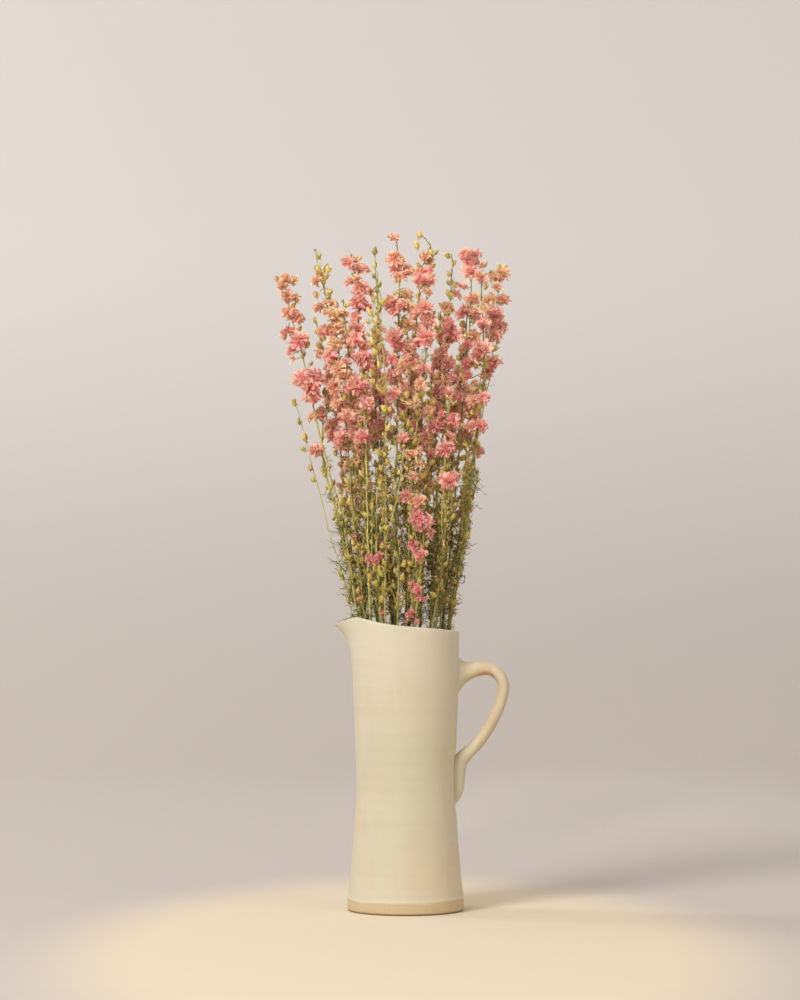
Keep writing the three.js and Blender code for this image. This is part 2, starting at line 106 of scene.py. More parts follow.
# Stems that are seen from the front. mouth is the stem's depth in the jug's mouth, - being nearer the front.
# stalk lists its course above the mouth as (x, z), as seen from the front in the plane of the jug's axis.
# florets are (x, z, reach of the petals, tone), buds are (x, z, radius, tone).
SEEN_STEMS = [
    {
        "name": "flower_stem_01", "mouth": -9, "bare_from": 400,
        "stalk": [(-49, 296), (-65, 396), (-76, 433), (-92, 498), (-106, 563), (-117, 600), (-122, 636)],
        "florets": [
            (-121, 631, 8, PEACH), (-113, 629, 6, TAN), (-125, 622, 5.5, TAN), (-119, 614, 6.5, PEACH),
            (-111, 611, 5.5, TAN), (-119, 597, 7.5, SALMON), (-108, 592, 8, SALMON), (-119, 577, 7.5, PINK),
            (-107, 570, 9, PINK), (-115, 558, 6, PINK), (-114, 550, 4.5, PEACH), (-103, 531, 9.5, PINK),
            (-90, 532, 9, DEEP), (-97, 523, 9.5, PINK), (-96, 512, 8, PINK),
        ],
        "buds": [(-130, 631, 4.5, AMBER)],
    },
    {
        "name": "flower_stem_02", "mouth": -3,
        "stalk": [
            (-44.5, 296), (-56, 338), (-68, 388), (-76, 418), (-84, 455), (-83, 480), (-80, 496), (-81, 517),
        ],
        "florets": [(-95, 491, 5.5, PEACH), (-86, 495, 7.5, SALMON), (-90, 458, 8.5, PINK)],
        "buds": [(-81, 517, 3.5, OLIVE), (-75, 515, 3.5, GREEN), (-77, 503, 4, OLIVE), (-84, 470, 3, GREEN)],
    },
    {
        "name": "bud_stem_01", "mouth": 0, "bare_from": 345,
        "stalk": [(-54, 296), (-63, 333), (-76, 373), (-88, 423), (-95, 445), (-102, 476), (-112, 508)],
        "florets": [],
        "buds": [
            (-112, 506, 5, YELLOW), (-107, 487, 4, GREEN), (-102, 471, 4, YELLOW), (-103, 459, 4, GREEN),
            (-95, 440, 4.5, YELLOW), (-93, 428, 3, GREEN),
        ],
    },
    {
        "name": "flower_stem_03", "mouth": -23,
        "stalk": [
            (-41.5, 296), (-45, 328), (-54, 408), (-59, 478), (-65, 513), (-67, 553), (-76, 593), (-92, 661),
        ],
        "florets": [
            (-90, 629, 6, PEACH), (-80, 607, 4, LIME), (-72, 605, 6, TAN), (-88, 602, 6, SALMON),
            (-81, 597, 4.5, TAN), (-70, 593, 9, TAN), (-62, 595, 6, PEACH), (-81, 578, 8, SALMON),
            (-68, 580, 8.5, TAN), (-72, 565, 9, TAN), (-62, 568, 6, TAN), (-76, 551, 9.5, PINK),
            (-68, 541, 9, PEACH), (-62, 533, 9, PEACH), (-73, 526, 7, SALMON), (-70, 517, 6, SALMON),
            (-70, 506, 6.5, PEACH), (-59, 491, 9, SALMON), (-46, 485, 6, SHADED_PINK),
        ],
        "buds": [
            (-91.5, 660, 1.9, OLIVE), (-87, 654, 4.5, GREEN), (-88, 640, 6, YELLOW), (-78, 640, 5, YELLOW),
            (-80, 633, 5.5, YELLOW), (-76, 618, 5.5, YELLOW), (-91, 615, 5, AMBER), (-83, 628, 4, GREEN),
        ],
    },
    {
        "name": "flower_stem_04", "mouth": -28,
        "stalk": [
            (-35.5, 296), (-38, 388), (-40, 471), (-42, 508), (-44, 548), (-48, 578), (-46, 605), (-55, 655),
        ],
        "florets": [
            (-58, 648, 7, PINK), (-47, 642, 6, PINK), (-40, 641, 5.5, SALMON), (-57, 628, 6, PINK),
            (-50, 630, 6, PEACH), (-44, 622, 8, PINK), (-36, 618, 5.5, DEEP), (-49, 607, 8.5, DEEP),
            (-40, 604, 7, DEEP), (-50, 593, 6, PINK), (-49, 582, 8, PINK), (-49, 569, 9, PINK),
            (-41, 562, 6, SALMON), (-44, 551, 10, DEEP), (-36, 540, 6.5, SHADED_PINK), (-52, 523, 10, DEEP),
            (-39, 505, 9, PINK), (-46, 471, 8, DEEP), (-46, 456, 3, DEEP), (-66, 471, 8, PINK),
            (-69, 462, 4, PINK),
        ],
        "buds": [(-46, 652, 5, AMBER)],
    },
    {
        "name": "bud_stem_02", "mouth": -41, "bare_from": 520,
        "stalk": [
            (-20.5, 296), (-20, 348), (-20, 448), (-20, 528), (-24, 571), (-25, 598), (-29, 618), (-31, 662),
        ],
        "florets": [],
        "buds": [
            (-31, 659, 4, OLIVE), (-31, 645, 3.8, GREEN), (-32, 634, 3.8, OLIVE), (-27, 625, 3.8, OLIVE),
            (-29, 619, 3.5, OLIVE), (-33, 610, 3.8, GREEN), (-22, 608, 3.8, GREEN), (-26, 601, 4, OLIVE),
            (-36, 597, 3.8, YELLOW), (-30, 588, 3.5, YELLOW), (-38, 588, 3.2, GREEN), (-28, 578, 4, YELLOW),
            (-38, 575, 3.4, GREEN), (-34, 567, 3.6, GREEN), (-31, 557, 3.8, YELLOW), (-27, 545, 4.2, GREEN),
            (-34, 536, 3.6, GREEN), (-34, 527, 5, YELLOW), (-28, 521, 5, YELLOW), (-23, 518, 5.4, YELLOW),
            (-29, 456, 4.6, YELLOW), (-25, 440, 4.5, GREEN), (-17, 447, 4.4, YELLOW), (-26, 425, 4.6, GREEN),
        ],
    },
    {
        "name": "flower_stem_05", "mouth": -20,
        "stalk": [
            (-10.5, 296), (-10, 388), (-9, 458), (-8, 513), (-8, 553), (-7, 593), (-6, 646), (-10, 672),
        ],
        "florets": [
            (-12, 673, 5.5, SALMON), (-11, 653, 8, SALMON), (-5, 647, 6, PEACH), (-11, 641, 6.5, PINK),
            (-4, 634, 6.5, PEACH), (2, 641, 5.5, PINK), (2, 615, 7, TAN), (-16, 607, 8.5, PINK),
            (-12, 598, 6.5, PINK), (-4, 605, 6, SALMON), (4, 602, 7, TAN), (4, 584, 8, LIME),
            (-11, 573, 9.5, PINK), (-6, 564, 6.5, DEEP), (3, 561, 6.5, TAN), (-14, 549, 7, PINK),
            (-4, 542, 7.5, SALMON), (-15, 532, 7.5, PINK), (-3, 526, 6.5, PEACH), (-12, 514, 7, DEEP),
        ],
        "buds": [
            (-7, 618, 4, GREEN), (-2, 591, 3.4, YELLOW), (-13, 480, 4.8, YELLOW), (-15, 466, 4.6, GREEN),
            (-4, 452, 4.6, YELLOW), (-13, 436, 4.4, GREEN),
        ],
    },
    {
        "name": "flower_stem_06", "mouth": -30,
        "stalk": [
            (1.5, 296), (4, 348), (10, 468), (14, 508), (22, 568), (21, 601), (22, 633), (25, 663), (14, 677),
        ],
        "florets": [
            (19, 653, 7.5, PEACH), (0, 636, 5, PINK), (16, 634, 9, PINK), (24, 631, 7, SALMON),
            (22, 618, 6, TAN), (21, 602, 9, PINK), (23, 589, 8, PINK), (9, 595, 6, SALMON),
            (20, 573, 9, PINK), (12, 566, 6, DEEP), (-1, 544, 9, SALMON), (18, 540, 7.5, PINK),
            (14, 524, 6.5, PEACH),
        ],
        "buds": [
            (14, 676, 4, YELLOW), (11, 665, 4, YELLOW), (26, 658, 4.2, GREEN), (7, 640, 4, GREEN),
            (13, 645, 4, GREEN), (29, 597, 3.4, GREEN), (20, 531, 4, OLIVE), (28, 645, 3, GREEN),
        ],
    },
    {
        "name": "flower_stem_07", "mouth": -16,
        "stalk": [
            (25.5, 296), (27, 338), (34, 448), (39, 488), (42, 568), (45, 608), (47, 642), (46, 656),
        ],
        "florets": [
            (59, 624, 4.5, PINK), (53, 615, 6, PINK), (41, 602, 7, TAN), (44, 584, 7, DEEP),
            (48, 573, 9, PINK), (35, 573, 6.5, PEACH), (43, 546, 7.5, SHADED_PINK), (46, 531, 6, PINK),
            (41, 516, 7.5, DEEP), (38, 560, 5.5, SALMON),
        ],
        "buds": [
            (42, 655, 4.4, GREEN), (49, 647, 4.8, YELLOW), (43, 636, 3.6, GREEN), (43, 627, 4.4, YELLOW),
            (51, 625, 5, AMBER), (43, 616, 4, GREEN), (37, 555, 4, AMBER), (38, 530, 4, AMBER),
        ],
    },
    {
        "name": "flower_stem_08", "mouth": 3,
        "stalk": [
            (38.5, 296), (46, 368), (51, 428), (55, 468), (58, 508), (60, 538), (64, 578), (66, 618),
            (64, 660),
        ],
        "florets": [
            (59, 656, 7, PINK), (69, 656, 7.5, PINK), (64, 650, 7, DEEP), (64, 639, 9, PINK),
            (73, 647, 4, SALMON), (56, 597, 8, DEEP), (70, 611, 7.5, PEACH), (70, 597, 6.5, SALMON),
            (72, 590, 5.5, SHADED_PINK), (69, 574, 8, TAN), (62, 564, 5.5, SHADED_PINK), (52, 512, 6.5, SHADED_PINK),
        ],
        "buds": [(79, 645, 4.2, AMBER), (86, 638, 2.6, OLIVE), (60, 624, 3.4, GREEN)],
    },
    {
        "name": "flower_stem_09", "mouth": -15,
        "stalk": [
            (44, 290), (54, 343), (61, 388), (67, 438), (72, 478), (77, 508), (79, 533), (78, 578), (76, 634),
        ],
        "florets": [
            (76, 632, 8, PEACH), (86, 610, 7, PEACH), (79, 600, 5.5, TAN), (79, 586, 7, PINK),
            (77, 562, 9.5, PINK), (70, 553, 6, DEEP), (62, 546, 7.5, SHADED_PINK), (61, 533, 6, SHADED_PINK),
            (68, 507, 8, SALMON), (78, 510, 7.5, PINK), (77, 483, 6, PINK), (67, 483, 6, PINK),
        ],
        "buds": [
            (71, 543, 5, OLIVE), (68, 519, 3.8, GREEN), (66, 496, 3.8, GREEN), (82, 622, 3.6, YELLOW),
            (58, 483, 4.8, YELLOW), (60, 464, 4.6, GREEN), (63, 448, 4.6, YELLOW), (58, 436, 4.4, GREEN),
        ],
    },
    {
        "name": "flower_stem_10", "mouth": 6,
        "stalk": [
            (46, 290), (54, 338), (64, 408), (74, 478), (82, 518), (87, 546), (88, 578), (92, 608), (97, 640),
        ],
        "florets": [
            (98, 636, 7.5, PEACH), (88, 633, 6.5, TAN), (99, 610, 6.5, PEACH), (92, 622, 5.5, TAN),
            (88, 597, 8.5, PINK), (93, 588, 8, PINK), (83, 587, 7, PINK), (98, 582, 6, SALMON),
            (90, 575, 7.5, SALMON), (88, 546, 8, PINK), (83, 538, 6, DEEP),
        ],
        "buds": [(101, 643, 3.4, YELLOW), (94, 643, 3.4, GREEN), (91, 560, 3.2, GREEN)],
    },
    {
        "name": "flower_stem_11", "mouth": -25,
        "stalk": [
            (31.5, 296), (34, 348), (37, 408), (40, 458), (43, 496), (46, 511), (50, 520), (56, 533),
        ],
        "florets": [
            (49, 488, 8, SHADED_PINK), (36, 493, 6, SHADED_PINK), (29, 483, 8, PINK), (41, 460, 8, SHADED_PINK),
            (46, 473, 5.5, SALMON),
        ],
        "buds": [(52, 551, 3.5, GREEN), (52, 542, 3.5, GREEN), (56, 533, 3.5, YELLOW), (50, 505, 3.4, OLIVE)],
    },
    {
        "name": "flower_stem_12", "mouth": -36,
        "stalk": [(8.5, 296), (8, 388), (9, 428), (5, 458), (1, 488), (2, 516)],
        "florets": [
            (9, 505, 7.5, TAN), (-3, 470, 6.5, SALMON), (4, 453, 6.5, TAN), (13, 444, 6.5, LIME),
            (7, 431, 6.5, PEACH), (14, 456, 5, PEACH),
        ],
        "buds": [
            (1, 514, 4.6, YELLOW), (-4, 508, 4, GREEN), (-3, 495, 4.4, YELLOW), (3, 486, 4.2, YELLOW),
            (7, 478, 4.4, GREEN), (-6, 482, 3.6, GREEN), (19, 434, 5.5, YELLOW), (20, 420, 4.4, GREEN),
            (0, 440, 4, YELLOW), (9, 466, 3.6, GREEN),
        ],
    },
    {
        "name": "flower_stem_13", "mouth": -34,
        "stalk": [(28, 290), (35, 328), (39, 368), (41, 408), (44, 436)],
        "florets": [(43, 427, 9, SHADED_PINK), (50, 432, 5.5, PINK), (36, 431, 5, PINK)],
        "buds": [(51, 402, 5, OLIVE), (48, 392, 4, GREEN), (37, 410, 3.4, GREEN)],
    },
    {
        "name": "flower_stem_14", "mouth": -44,
        "stalk": [(10, 290), (12, 308), (15, 338), (18, 368), (16, 412)],
        "florets": [
            (4, 409, 6.5, PEACH), (-1, 413, 5.5, SHADED_PINK), (14, 407, 6, SALMON), (8, 400, 4.5, PEACH),
            (10, 392, 8, VIVID), (20, 386, 8, VIVID), (14, 382, 5.5, PINK), (25, 374, 6, SALMON),
            (8, 362, 6.5, VIVID), (15, 353, 6.5, DEEP), (11, 356, 5, PEACH), (5, 323, 4.2, VIVID),
            (11, 318, 5.5, VIVID), (12, 310, 4.5, VIVID), (4, 294, 5, VIVID), (11, 286, 3.4, PINK),
            (1, 286, 4, PEACH), (19, 308, 4.4, SHADED_PINK),
        ],
        "buds": [(21, 364, 3.2, GREEN), (4, 344, 3.2, YELLOW)],
    },
    {
        "name": "flower_stem_15", "mouth": -12.5,
        "stalk": [(-42, 296), (-44, 328), (-48, 368), (-52, 408), (-57, 450)],
        "florets": [
            (-59, 443, 5.5, SALMON), (-54, 420, 7, SALMON), (-49, 413, 6.5, PINK), (-51, 402, 3.4, PINK),
            (-49, 370, 5, SHADED_PINK),
        ],
        "buds": [(-45, 403, 3.6, YELLOW), (-44, 395, 3.6, GREEN), (-58, 405, 3, AMBER)],
    },
    {
        "name": "flower_stem_16", "mouth": -33,
        "stalk": [(-25, 290), (-26, 313), (-28, 338), (-29, 372)],
        "florets": [
            (-36, 348, 6, SHADED_PINK), (-30, 347, 5, SHADED_PINK), (-23, 351, 6, SHADED_PINK), (-23, 294, 4.5, SHADED_PINK),
        ],
        "buds": [
            (-29, 371, 4.4, YELLOW), (-31, 340, 5, YELLOW), (-26, 341, 4.6, YELLOW), (-22, 338, 4, YELLOW),
            (-36, 332, 4.4, YELLOW), (-30, 325, 4.4, GREEN), (-22, 323, 4.4, GREEN), (-22, 315, 4.6, YELLOW),
            (-28, 412, 3.4, GREEN), (-22, 388, 3.4, GREEN), (-33, 383, 3.6, GREEN), (-34, 400, 3.6, GREEN),
        ],
    },
    {
        "name": "bud_stem_03", "mouth": -38,
        "stalk": [(-8, 290), (-7, 328), (-6, 360)],
        "florets": [],
        "buds": [
            (-10, 353, 3.8, GREEN), (-2, 344, 3.8, YELLOW), (-10, 337, 3.8, YELLOW), (-12, 322, 3.8, YELLOW),
            (-4, 303, 4.8, GREEN), (-15, 374, 3.6, AMBER), (-3, 330, 3.4, YELLOW), (-6, 366, 3.6, GREEN),
        ],
    },
    {
        "name": "bud_stem_04", "mouth": -11,
        "stalk": [(35.5, 290), (38, 318), (44, 348)],
        "florets": [],
        "buds": [
            (37, 317, 3.8, YELLOW), (31, 308, 3.8, GREEN), (43, 344, 4, YELLOW), (35, 302, 3.4, YELLOW),
            (40, 331, 3.4, GREEN),
        ],
    },
    {
        "name": "bud_stem_05", "mouth": -4.5,
        "stalk": [(45.5, 298), (52, 328), (58, 362), (63, 392), (68, 412), (73, 434)],
        "florets": [],
        "buds": [
            (72, 428, 3.8, GREEN), (67, 413, 3.8, OLIVE), (63, 398, 3.8, OLIVE), (57, 371, 3.4, GREEN),
            (60, 384, 3.2, OLIVE), (54, 352, 3.2, GREEN), (50, 324, 3.4, BLUSH), (47, 313, 3.2, AMBER),
            (48, 304, 3.2, BLUSH), (45, 297, 3, AMBER),
        ],
    },
    {
        "name": "bud_stem_06", "mouth": 9,
        "stalk": [(-49, 296), (-53, 318), (-58, 348), (-62, 378), (-66, 404)],
        "florets": [],
        "buds": [
            (-68, 391, 4, YELLOW), (-61, 375, 4.2, YELLOW), (-61, 355, 4.2, AMBER), (-66, 404, 3.6, GREEN),
            (-56, 340, 3.4, YELLOW),
        ],
    },
]

# Stems of the middle and the back: their place in the jug's mouth, their height and their florets' number
HIDDEN_STEMS = [
    ((-40, 18), 598, 8), ((-29, 29), 562, 7), ((-27, 8), 612, 8), ((-27, -10), 540, 6),
    ((-14, 20), 624, 9), ((-12, 2), 584, 7), ((0, 30), 590, 8), ((2, 12), 632, 8),
    ((4, -10), 556, 6), ((15, 22), 608, 8), ((15, 0), 598, 7), ((28, 30), 572, 7),
    ((27, 12), 618, 8), ((38, 19), 592, 8), ((14, -22), 532, 5), ((-22, -21), 546, 5),
]


# Geometry helpers


def unit(vector):
    return vector / np.linalg.norm(vector)


def units(vectors):
    """Each row made one long."""
    return vectors / np.linalg.norm(vectors, axis=1)[:, None]


def outwards(turn):
    """The level direction at an angle, seen from above."""
    return np.array([math.cos(turn), math.sin(turn), 0.0])


def smoothstep(value, low, high):
    share = np.clip((value - low) / (high - low), 0.0, 1.0)
    return share * share * (3.0 - 2.0 * share)


def grid_faces(rows, columns, closed=False):
    """Faces between the points of a grid, stored row by row. Closed, its last column meets its first."""
    row, column = np.meshgrid(np.arange(rows - 1), np.arange(columns - (not closed)), indexing="ij")
    following = (column + 1) % columns
    corners = [
        row * columns + column,
        (row + 1) * columns + column,
        (row + 1) * columns + following,
        row * columns + following,
    ]
    return np.stack(corners, axis=-1).reshape(-1, 4)


def cap_faces(ring, apex, outward):
    """Triangles from a ring of points to one apex."""
    following = np.roll(ring, -1)
    ends = (ring, following) if outward else (following, ring)
    return np.stack([ends[0], ends[1], np.full(len(ring), apex), np.full(len(ring), -1)], axis=-1)


def capped_faces(rows, sides, flipped=False):
    """Faces of a closed skin: its rings of points, and the two points after them that close its ends."""
    walls = grid_faces(rows, sides, closed=True)
    first = np.arange(sides)
    return np.vstack([
        walls[:, ::-1] if flipped else walls,
        cap_faces(first, rows * sides, outward=not flipped),
        cap_faces(first + (rows - 1) * sides, rows * sides + 1, outward=flipped),
    ])


def smooth_course(knots, count, fine=14):
    """Evenly spaced points on a smooth curve through the knots."""
    knots = np.asarray(knots, float)
    held = np.vstack([2 * knots[0] - knots[1], knots, 2 * knots[-1] - knots[-2]])
    times = np.concatenate([[0.0], np.cumsum(np.sqrt(np.linalg.norm(np.diff(held, axis=0), axis=1)))])
    spans = []
    for i in range(len(knots) - 1):
        t0, t1, t2, t3 = times[i : i + 4]
        p0, p1, p2, p3 = held[i : i + 4]
        t = np.linspace(t1, t2, fine, endpoint=False)[:, None]
        a = ((t1 - t) * p0 + (t - t0) * p1) / (t1 - t0)
        b = ((t2 - t) * p1 + (t - t1) * p2) / (t2 - t1)
        c = ((t3 - t) * p2 + (t - t2) * p3) / (t3 - t2)
        d = ((t2 - t) * a + (t - t0) * b) / (t2 - t0)
        e = ((t3 - t) * b + (t - t1) * c) / (t3 - t1)
        spans.append(((t2 - t) * d + (t - t1) * e) / (t2 - t1))
    dense = np.vstack(spans + [knots[-1:]])
    lengths = np.concatenate([[0.0], np.cumsum(np.linalg.norm(np.diff(dense, axis=0), axis=1))])
    even = np.linspace(0.0, lengths[-1], count)
    return np.column_stack([np.interp(even, lengths, dense[:, k]) for k in range(dense.shape[1])])


def tube(course, radii, sides):
    """The closed skin of a tapering tube along a course, as points and faces."""
    ahead = units(np.gradient(course, axis=0))
    aside = np.eye(3)[np.argmin(np.abs(course[-1] - course[0]))]
    across = units(np.cross(ahead, aside))
    over = np.cross(across, ahead)
    angles = 2 * math.pi * np.arange(sides) / sides
    ring = across[:, None] * np.cos(angles)[:, None] + over[:, None] * np.sin(angles)[:, None]
    skin = course[:, None] + np.asarray(radii)[:, None, None] * ring
    points = np.vstack([skin.reshape(-1, 3), course[:1], course[-1:]])
    return points, capped_faces(len(course), sides)


def bezier(start, leave, arrive, end, count):
    share = np.linspace(0.0, 1.0, count)[:, None]
    rest = 1.0 - share
    return rest**3 * start + 3 * rest**2 * share * leave + 3 * rest * share**2 * arrive + share**3 * end


def wander(random, root, heading, length, steps, turn, jitter):
    """A course that bends steadily and a little at random, and the way it heads at its end."""
    turn = random.normal(0.0, turn, 3)
    course = [root]
    for _ in range(steps):
        heading = unit(heading + turn + random.normal(0.0, jitter, 3))
        course.append(course[-1] + heading * length / steps)
    return np.array(course), heading


class Form:
    """Collects the surfaces of one piece, in millimetres, with four values of its finish at each point:
    tone, how far along its leaf or petal, how far across, and a value that is random from one to the next."""

    def __init__(self):
        self.points = []
        self.finish = []
        self.faces = []
        self.count = 0

    def add(self, points, faces, finish):
        self.points.append(points)
        self.finish.append(np.broadcast_to(finish, (len(points), 4)))
        self.faces.append(np.where(faces < 0, -1, faces + self.count))
        self.count += len(points)

    def arrays(self):
        return np.vstack(self.points), np.vstack(self.faces), np.vstack(self.finish)

    def strip(self, course, half_widths, random):
        """A flat narrow strip along a course, turned at random about it."""
        ahead = np.gradient(course, axis=0)
        aside = units(np.cross(ahead, random.normal(0.0, 1.0, 3)))
        reach = aside * np.asarray(half_widths)[:, None]
        points = np.stack([course - reach, course + reach], axis=1).reshape(-1, 3)
        along = np.repeat(np.linspace(0.0, 1.0, len(course)), 2)
        tone = random.uniform(-0.2, 0.2)
        finish = np.column_stack([0.0 * along + tone, along, 0.0 * along, 0.0 * along + 0.5])
        self.add(points, grid_faces(len(course), 2), finish)

    def tube(self, course, radii, sides, tone, grain):
        points, faces = tube(course, radii, sides)
        along = np.concatenate([np.repeat(np.linspace(0.0, 1.0, len(course)), sides), [0.0, 1.0]])
        finish = np.column_stack([
            np.broadcast_to(tone, len(points)), along, np.zeros(len(points)), np.full(len(points), grain),
        ])
        self.add(points, faces, finish)


def add_object(name, data):
    made = bpy.data.objects.new(name, data)
    bpy.context.scene.collection.objects.link(made)
    return made


def dress(piece, finish, material, node=None):
    """Gives a piece its finish, its material, its place in the frame and the node that it stands for."""
    mesh = piece.data
    values = mesh.attributes.new("finish", "FLOAT_COLOR", "POINT")
    values.data.foreach_set("color", finish.astype(np.float32).ravel())
    mesh.shade_smooth()
    mesh.materials.clear()
    mesh.materials.append(material)
    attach(piece, "root")
    if node:
        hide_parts(node)


def mesh_piece(name, form, material, node=None):
    """Makes the piece that a form holds."""
    points, faces, finish = form.arrays()
    used = faces >= 0
    sizes = used.sum(axis=1)
    mesh = bpy.data.meshes.new(name)
    mesh.vertices.add(len(points))
    mesh.vertices.foreach_set("co", (points * MM).astype(np.float32).ravel())
    mesh.loops.add(int(sizes.sum()))
    mesh.loops.foreach_set("vertex_index", faces[used].astype(np.int32))
    mesh.polygons.add(len(faces))
    mesh.polygons.foreach_set("loop_start", (np.cumsum(sizes) - sizes).astype(np.int32))
    mesh.update(calc_edges=True)
    dress(add_object(name, mesh), finish, material, node)


# Materials


def srgb(code):
    """A colour written as six hexadecimal digits, as linear light."""
    channels = [int(code[k : k + 2], 16) / 255 for k in (0, 2, 4)]
    linear = [c / 12.92 if c <= 0.04045 else ((c + 0.055) / 1.055) ** 2.4 for c in channels]
    return (*linear, 1.0)


class Nodes:
    """Short calls for building nodes. A value is a number, a colour code or another node's output."""

    def __init__(self, name):
        self.material = bpy.data.materials.new(name)
        self.material.use_nodes = True
        self.tree = self.material.node_tree
        self.shader = self.tree.nodes["Principled BSDF"]
        self.output = self.tree.nodes["Material Output"]

    def feed(self, socket, value):
        if isinstance(value, str):
            socket.default_value = srgb(value)
        elif isinstance(value, (int, float, tuple)):
            socket.default_value = value
        else:
            self.tree.links.new(value, socket)

    def node(self, kind, inputs={}, **settings):
        made = self.tree.nodes.new(kind)
        for key, value in settings.items():
            setattr(made, key, value)
        for key, value in inputs.items():
            self.feed(made.inputs[key], value)
        return made

    def finish(self):
        """The four values that the mesh holds: tone, along, across and grain."""
        attribute = self.node("ShaderNodeAttribute", attribute_name="finish")
        parts = self.node("ShaderNodeSeparateColor", {0: attribute.outputs["Color"]}).outputs
        return parts[0], parts[1], parts[2], attribute.outputs["Alpha"]

    def place(self):
        return self.node("ShaderNodeTexCoord").outputs["Object"]

    def parts(self, vector):
        return self.node("ShaderNodeSeparateXYZ", {0: vector}).outputs

    def vector(self, x, y, z):
        return self.node("ShaderNodeCombineXYZ", {0: x, 1: y, 2: z}).outputs[0]

    def stretched(self, vector, x, y, z):
        return self.node("ShaderNodeMapping", {"Vector": vector, "Scale": (x, y, z)}).outputs[0]

    def maths(self, operation, first, second, clamp=False):
        made = self.node("ShaderNodeMath", {0: first, 1: second}, operation=operation, use_clamp=clamp)
        return made.outputs[0]

    def times(self, first, second):
        return self.maths("MULTIPLY", first, second)

    def plus(self, first, second, clamp=False):
        return self.maths("ADD", first, second, clamp)

    def swing(self, pattern, reach):
        """A pattern of 0 to 1 as a swing about 0."""
        return self.times(self.maths("SUBTRACT", pattern, 0.5), reach)

    def spread(self, value, low, high, to_low=0.0, to_high=1.0):
        inputs = {"Value": value, "From Min": low, "From Max": high, "To Min": to_low, "To Max": to_high}
        return self.node("ShaderNodeMapRange", inputs, interpolation_type="SMOOTHSTEP").outputs["Result"]

    def noise(self, vector, scale, detail=3.0, roughness=0.55):
        inputs = {"Vector": vector, "Scale": scale, "Detail": detail, "Roughness": roughness}
        return self.node("ShaderNodeTexNoise", inputs).outputs["Fac"]

    def ramp(self, value, stops):
        made = self.node("ShaderNodeValToRGB", {0: value})
        band = made.color_ramp
        while len(band.elements) < len(stops):
            band.elements.new(0.5)
        for element, (position, code) in zip(band.elements, stops):
            element.position = position
            element.color = srgb(code)
        return made.outputs["Color"]

    def mix(self, share, first, second):
        made = self.node("ShaderNodeMix", {"Factor": share}, data_type="RGBA")
        colours = [s for s in made.inputs if s.type == "RGBA"]
        self.feed(colours[0], first)
        self.feed(colours[1], second)
        return next(s for s in made.outputs if s.type == "RGBA")

    def tint(self, colour, code, share, most):
        """Mixes a colour code in by a share, which reaches the most that is given."""
        return self.mix(self.times(share, most), colour, code)

    def bump(self, height, strength, distance):
        inputs = {"Height": height, "Strength": strength, "Distance": distance}
        normal = self.node("ShaderNodeBump", inputs).outputs["Normal"]
        self.feed(self.shader.inputs["Normal"], normal)
        return normal

    def surface(self, colour, roughness, sheen=0.0, specular=0.3):
        self.feed(self.shader.inputs["Base Color"], colour)
        self.feed(self.shader.inputs["Roughness"], roughness)
        self.feed(self.shader.inputs["Specular IOR Level"], specular)
        self.feed(self.shader.inputs["Sheen Weight"], sheen)

    def let_light_through(self, colour, normal, share):
        """Thin dried tissue: some of the light comes through from behind."""
        glow = self.node("ShaderNodeBsdfTranslucent", {"Color": colour, "Normal": normal}).outputs[0]
        mixed = self.node("ShaderNodeMixShader", {0: share, 1: self.shader.outputs[0], 2: glow})
        self.feed(self.output.inputs["Surface"], mixed.outputs[0])


def petal_material():
    n = Nodes("dried_petal")
    tone, along, across, grain = n.finish()
    length_ways = n.vector(n.times(across, 3.0), along, n.times(grain, 37.0))
    veins = n.noise(n.stretched(length_ways, 4.0, 1.2, 1.0), 3.2, detail=4.0)
    blotch = n.noise(n.place(), 260.0)
    # The tone wanders over each petal
    shifted = n.plus(tone, n.plus(n.swing(blotch, 0.5), n.swing(veins, 0.35)), clamp=True)
    # The stop at 0.1 is the darker pink of florets in the bunch's shade: painted shade
    colour = n.ramp(shifted, [
        (0.0, "FF6A9C"), (0.1, "F48C98"), (0.2, "FF8AA0"), (0.33, "FF9EAA"), (0.46, "FFB4A6"),
        (0.62, "FFC698"), (0.8, "FFD196"), (1.0, "F2D98A"),
    ])
    # Some petals are darker and some paler than their fellows
    colour = n.tint(colour, "F64C74", n.spread(grain, 0.6, 0.8), 0.4)
    colour = n.tint(colour, "FFF0DA", n.spread(grain, 0.35, 0.15), 0.3)
    # Cream edges and tips, and a tan throat that is partly the petal's own colour and partly painted shade
    # deep in the floret
    rim = n.times(n.spread(across, 0.35, 0.85), 0.85)
    tip = n.times(n.spread(along, 0.7, 0.95), 0.6)
    pale = n.times(n.maths("MAXIMUM", rim, tip), n.spread(veins, 0.3, 0.48))
    colour = n.mix(pale, colour, "FFF0D0")
    # The tan at each petal's base is partly painted shade
    colour = n.tint(colour, "EC8C58", n.spread(along, 0.5, 0.05), 0.6)
    # Pale and dark streaks along its veins
    colour = n.tint(colour, "FBE4B4", n.spread(veins, 0.56, 0.74), 0.55)
    colour = n.tint(colour, "EE6E7E", n.spread(veins, 0.42, 0.28), 0.3)
    n.surface(colour, 0.75, sheen=0.15, specular=0.2)
    normal = n.bump(n.plus(veins, n.times(blotch, 0.6)), 0.5, 0.0005)
    n.let_light_through(colour, normal, 0.4)
    return n.material


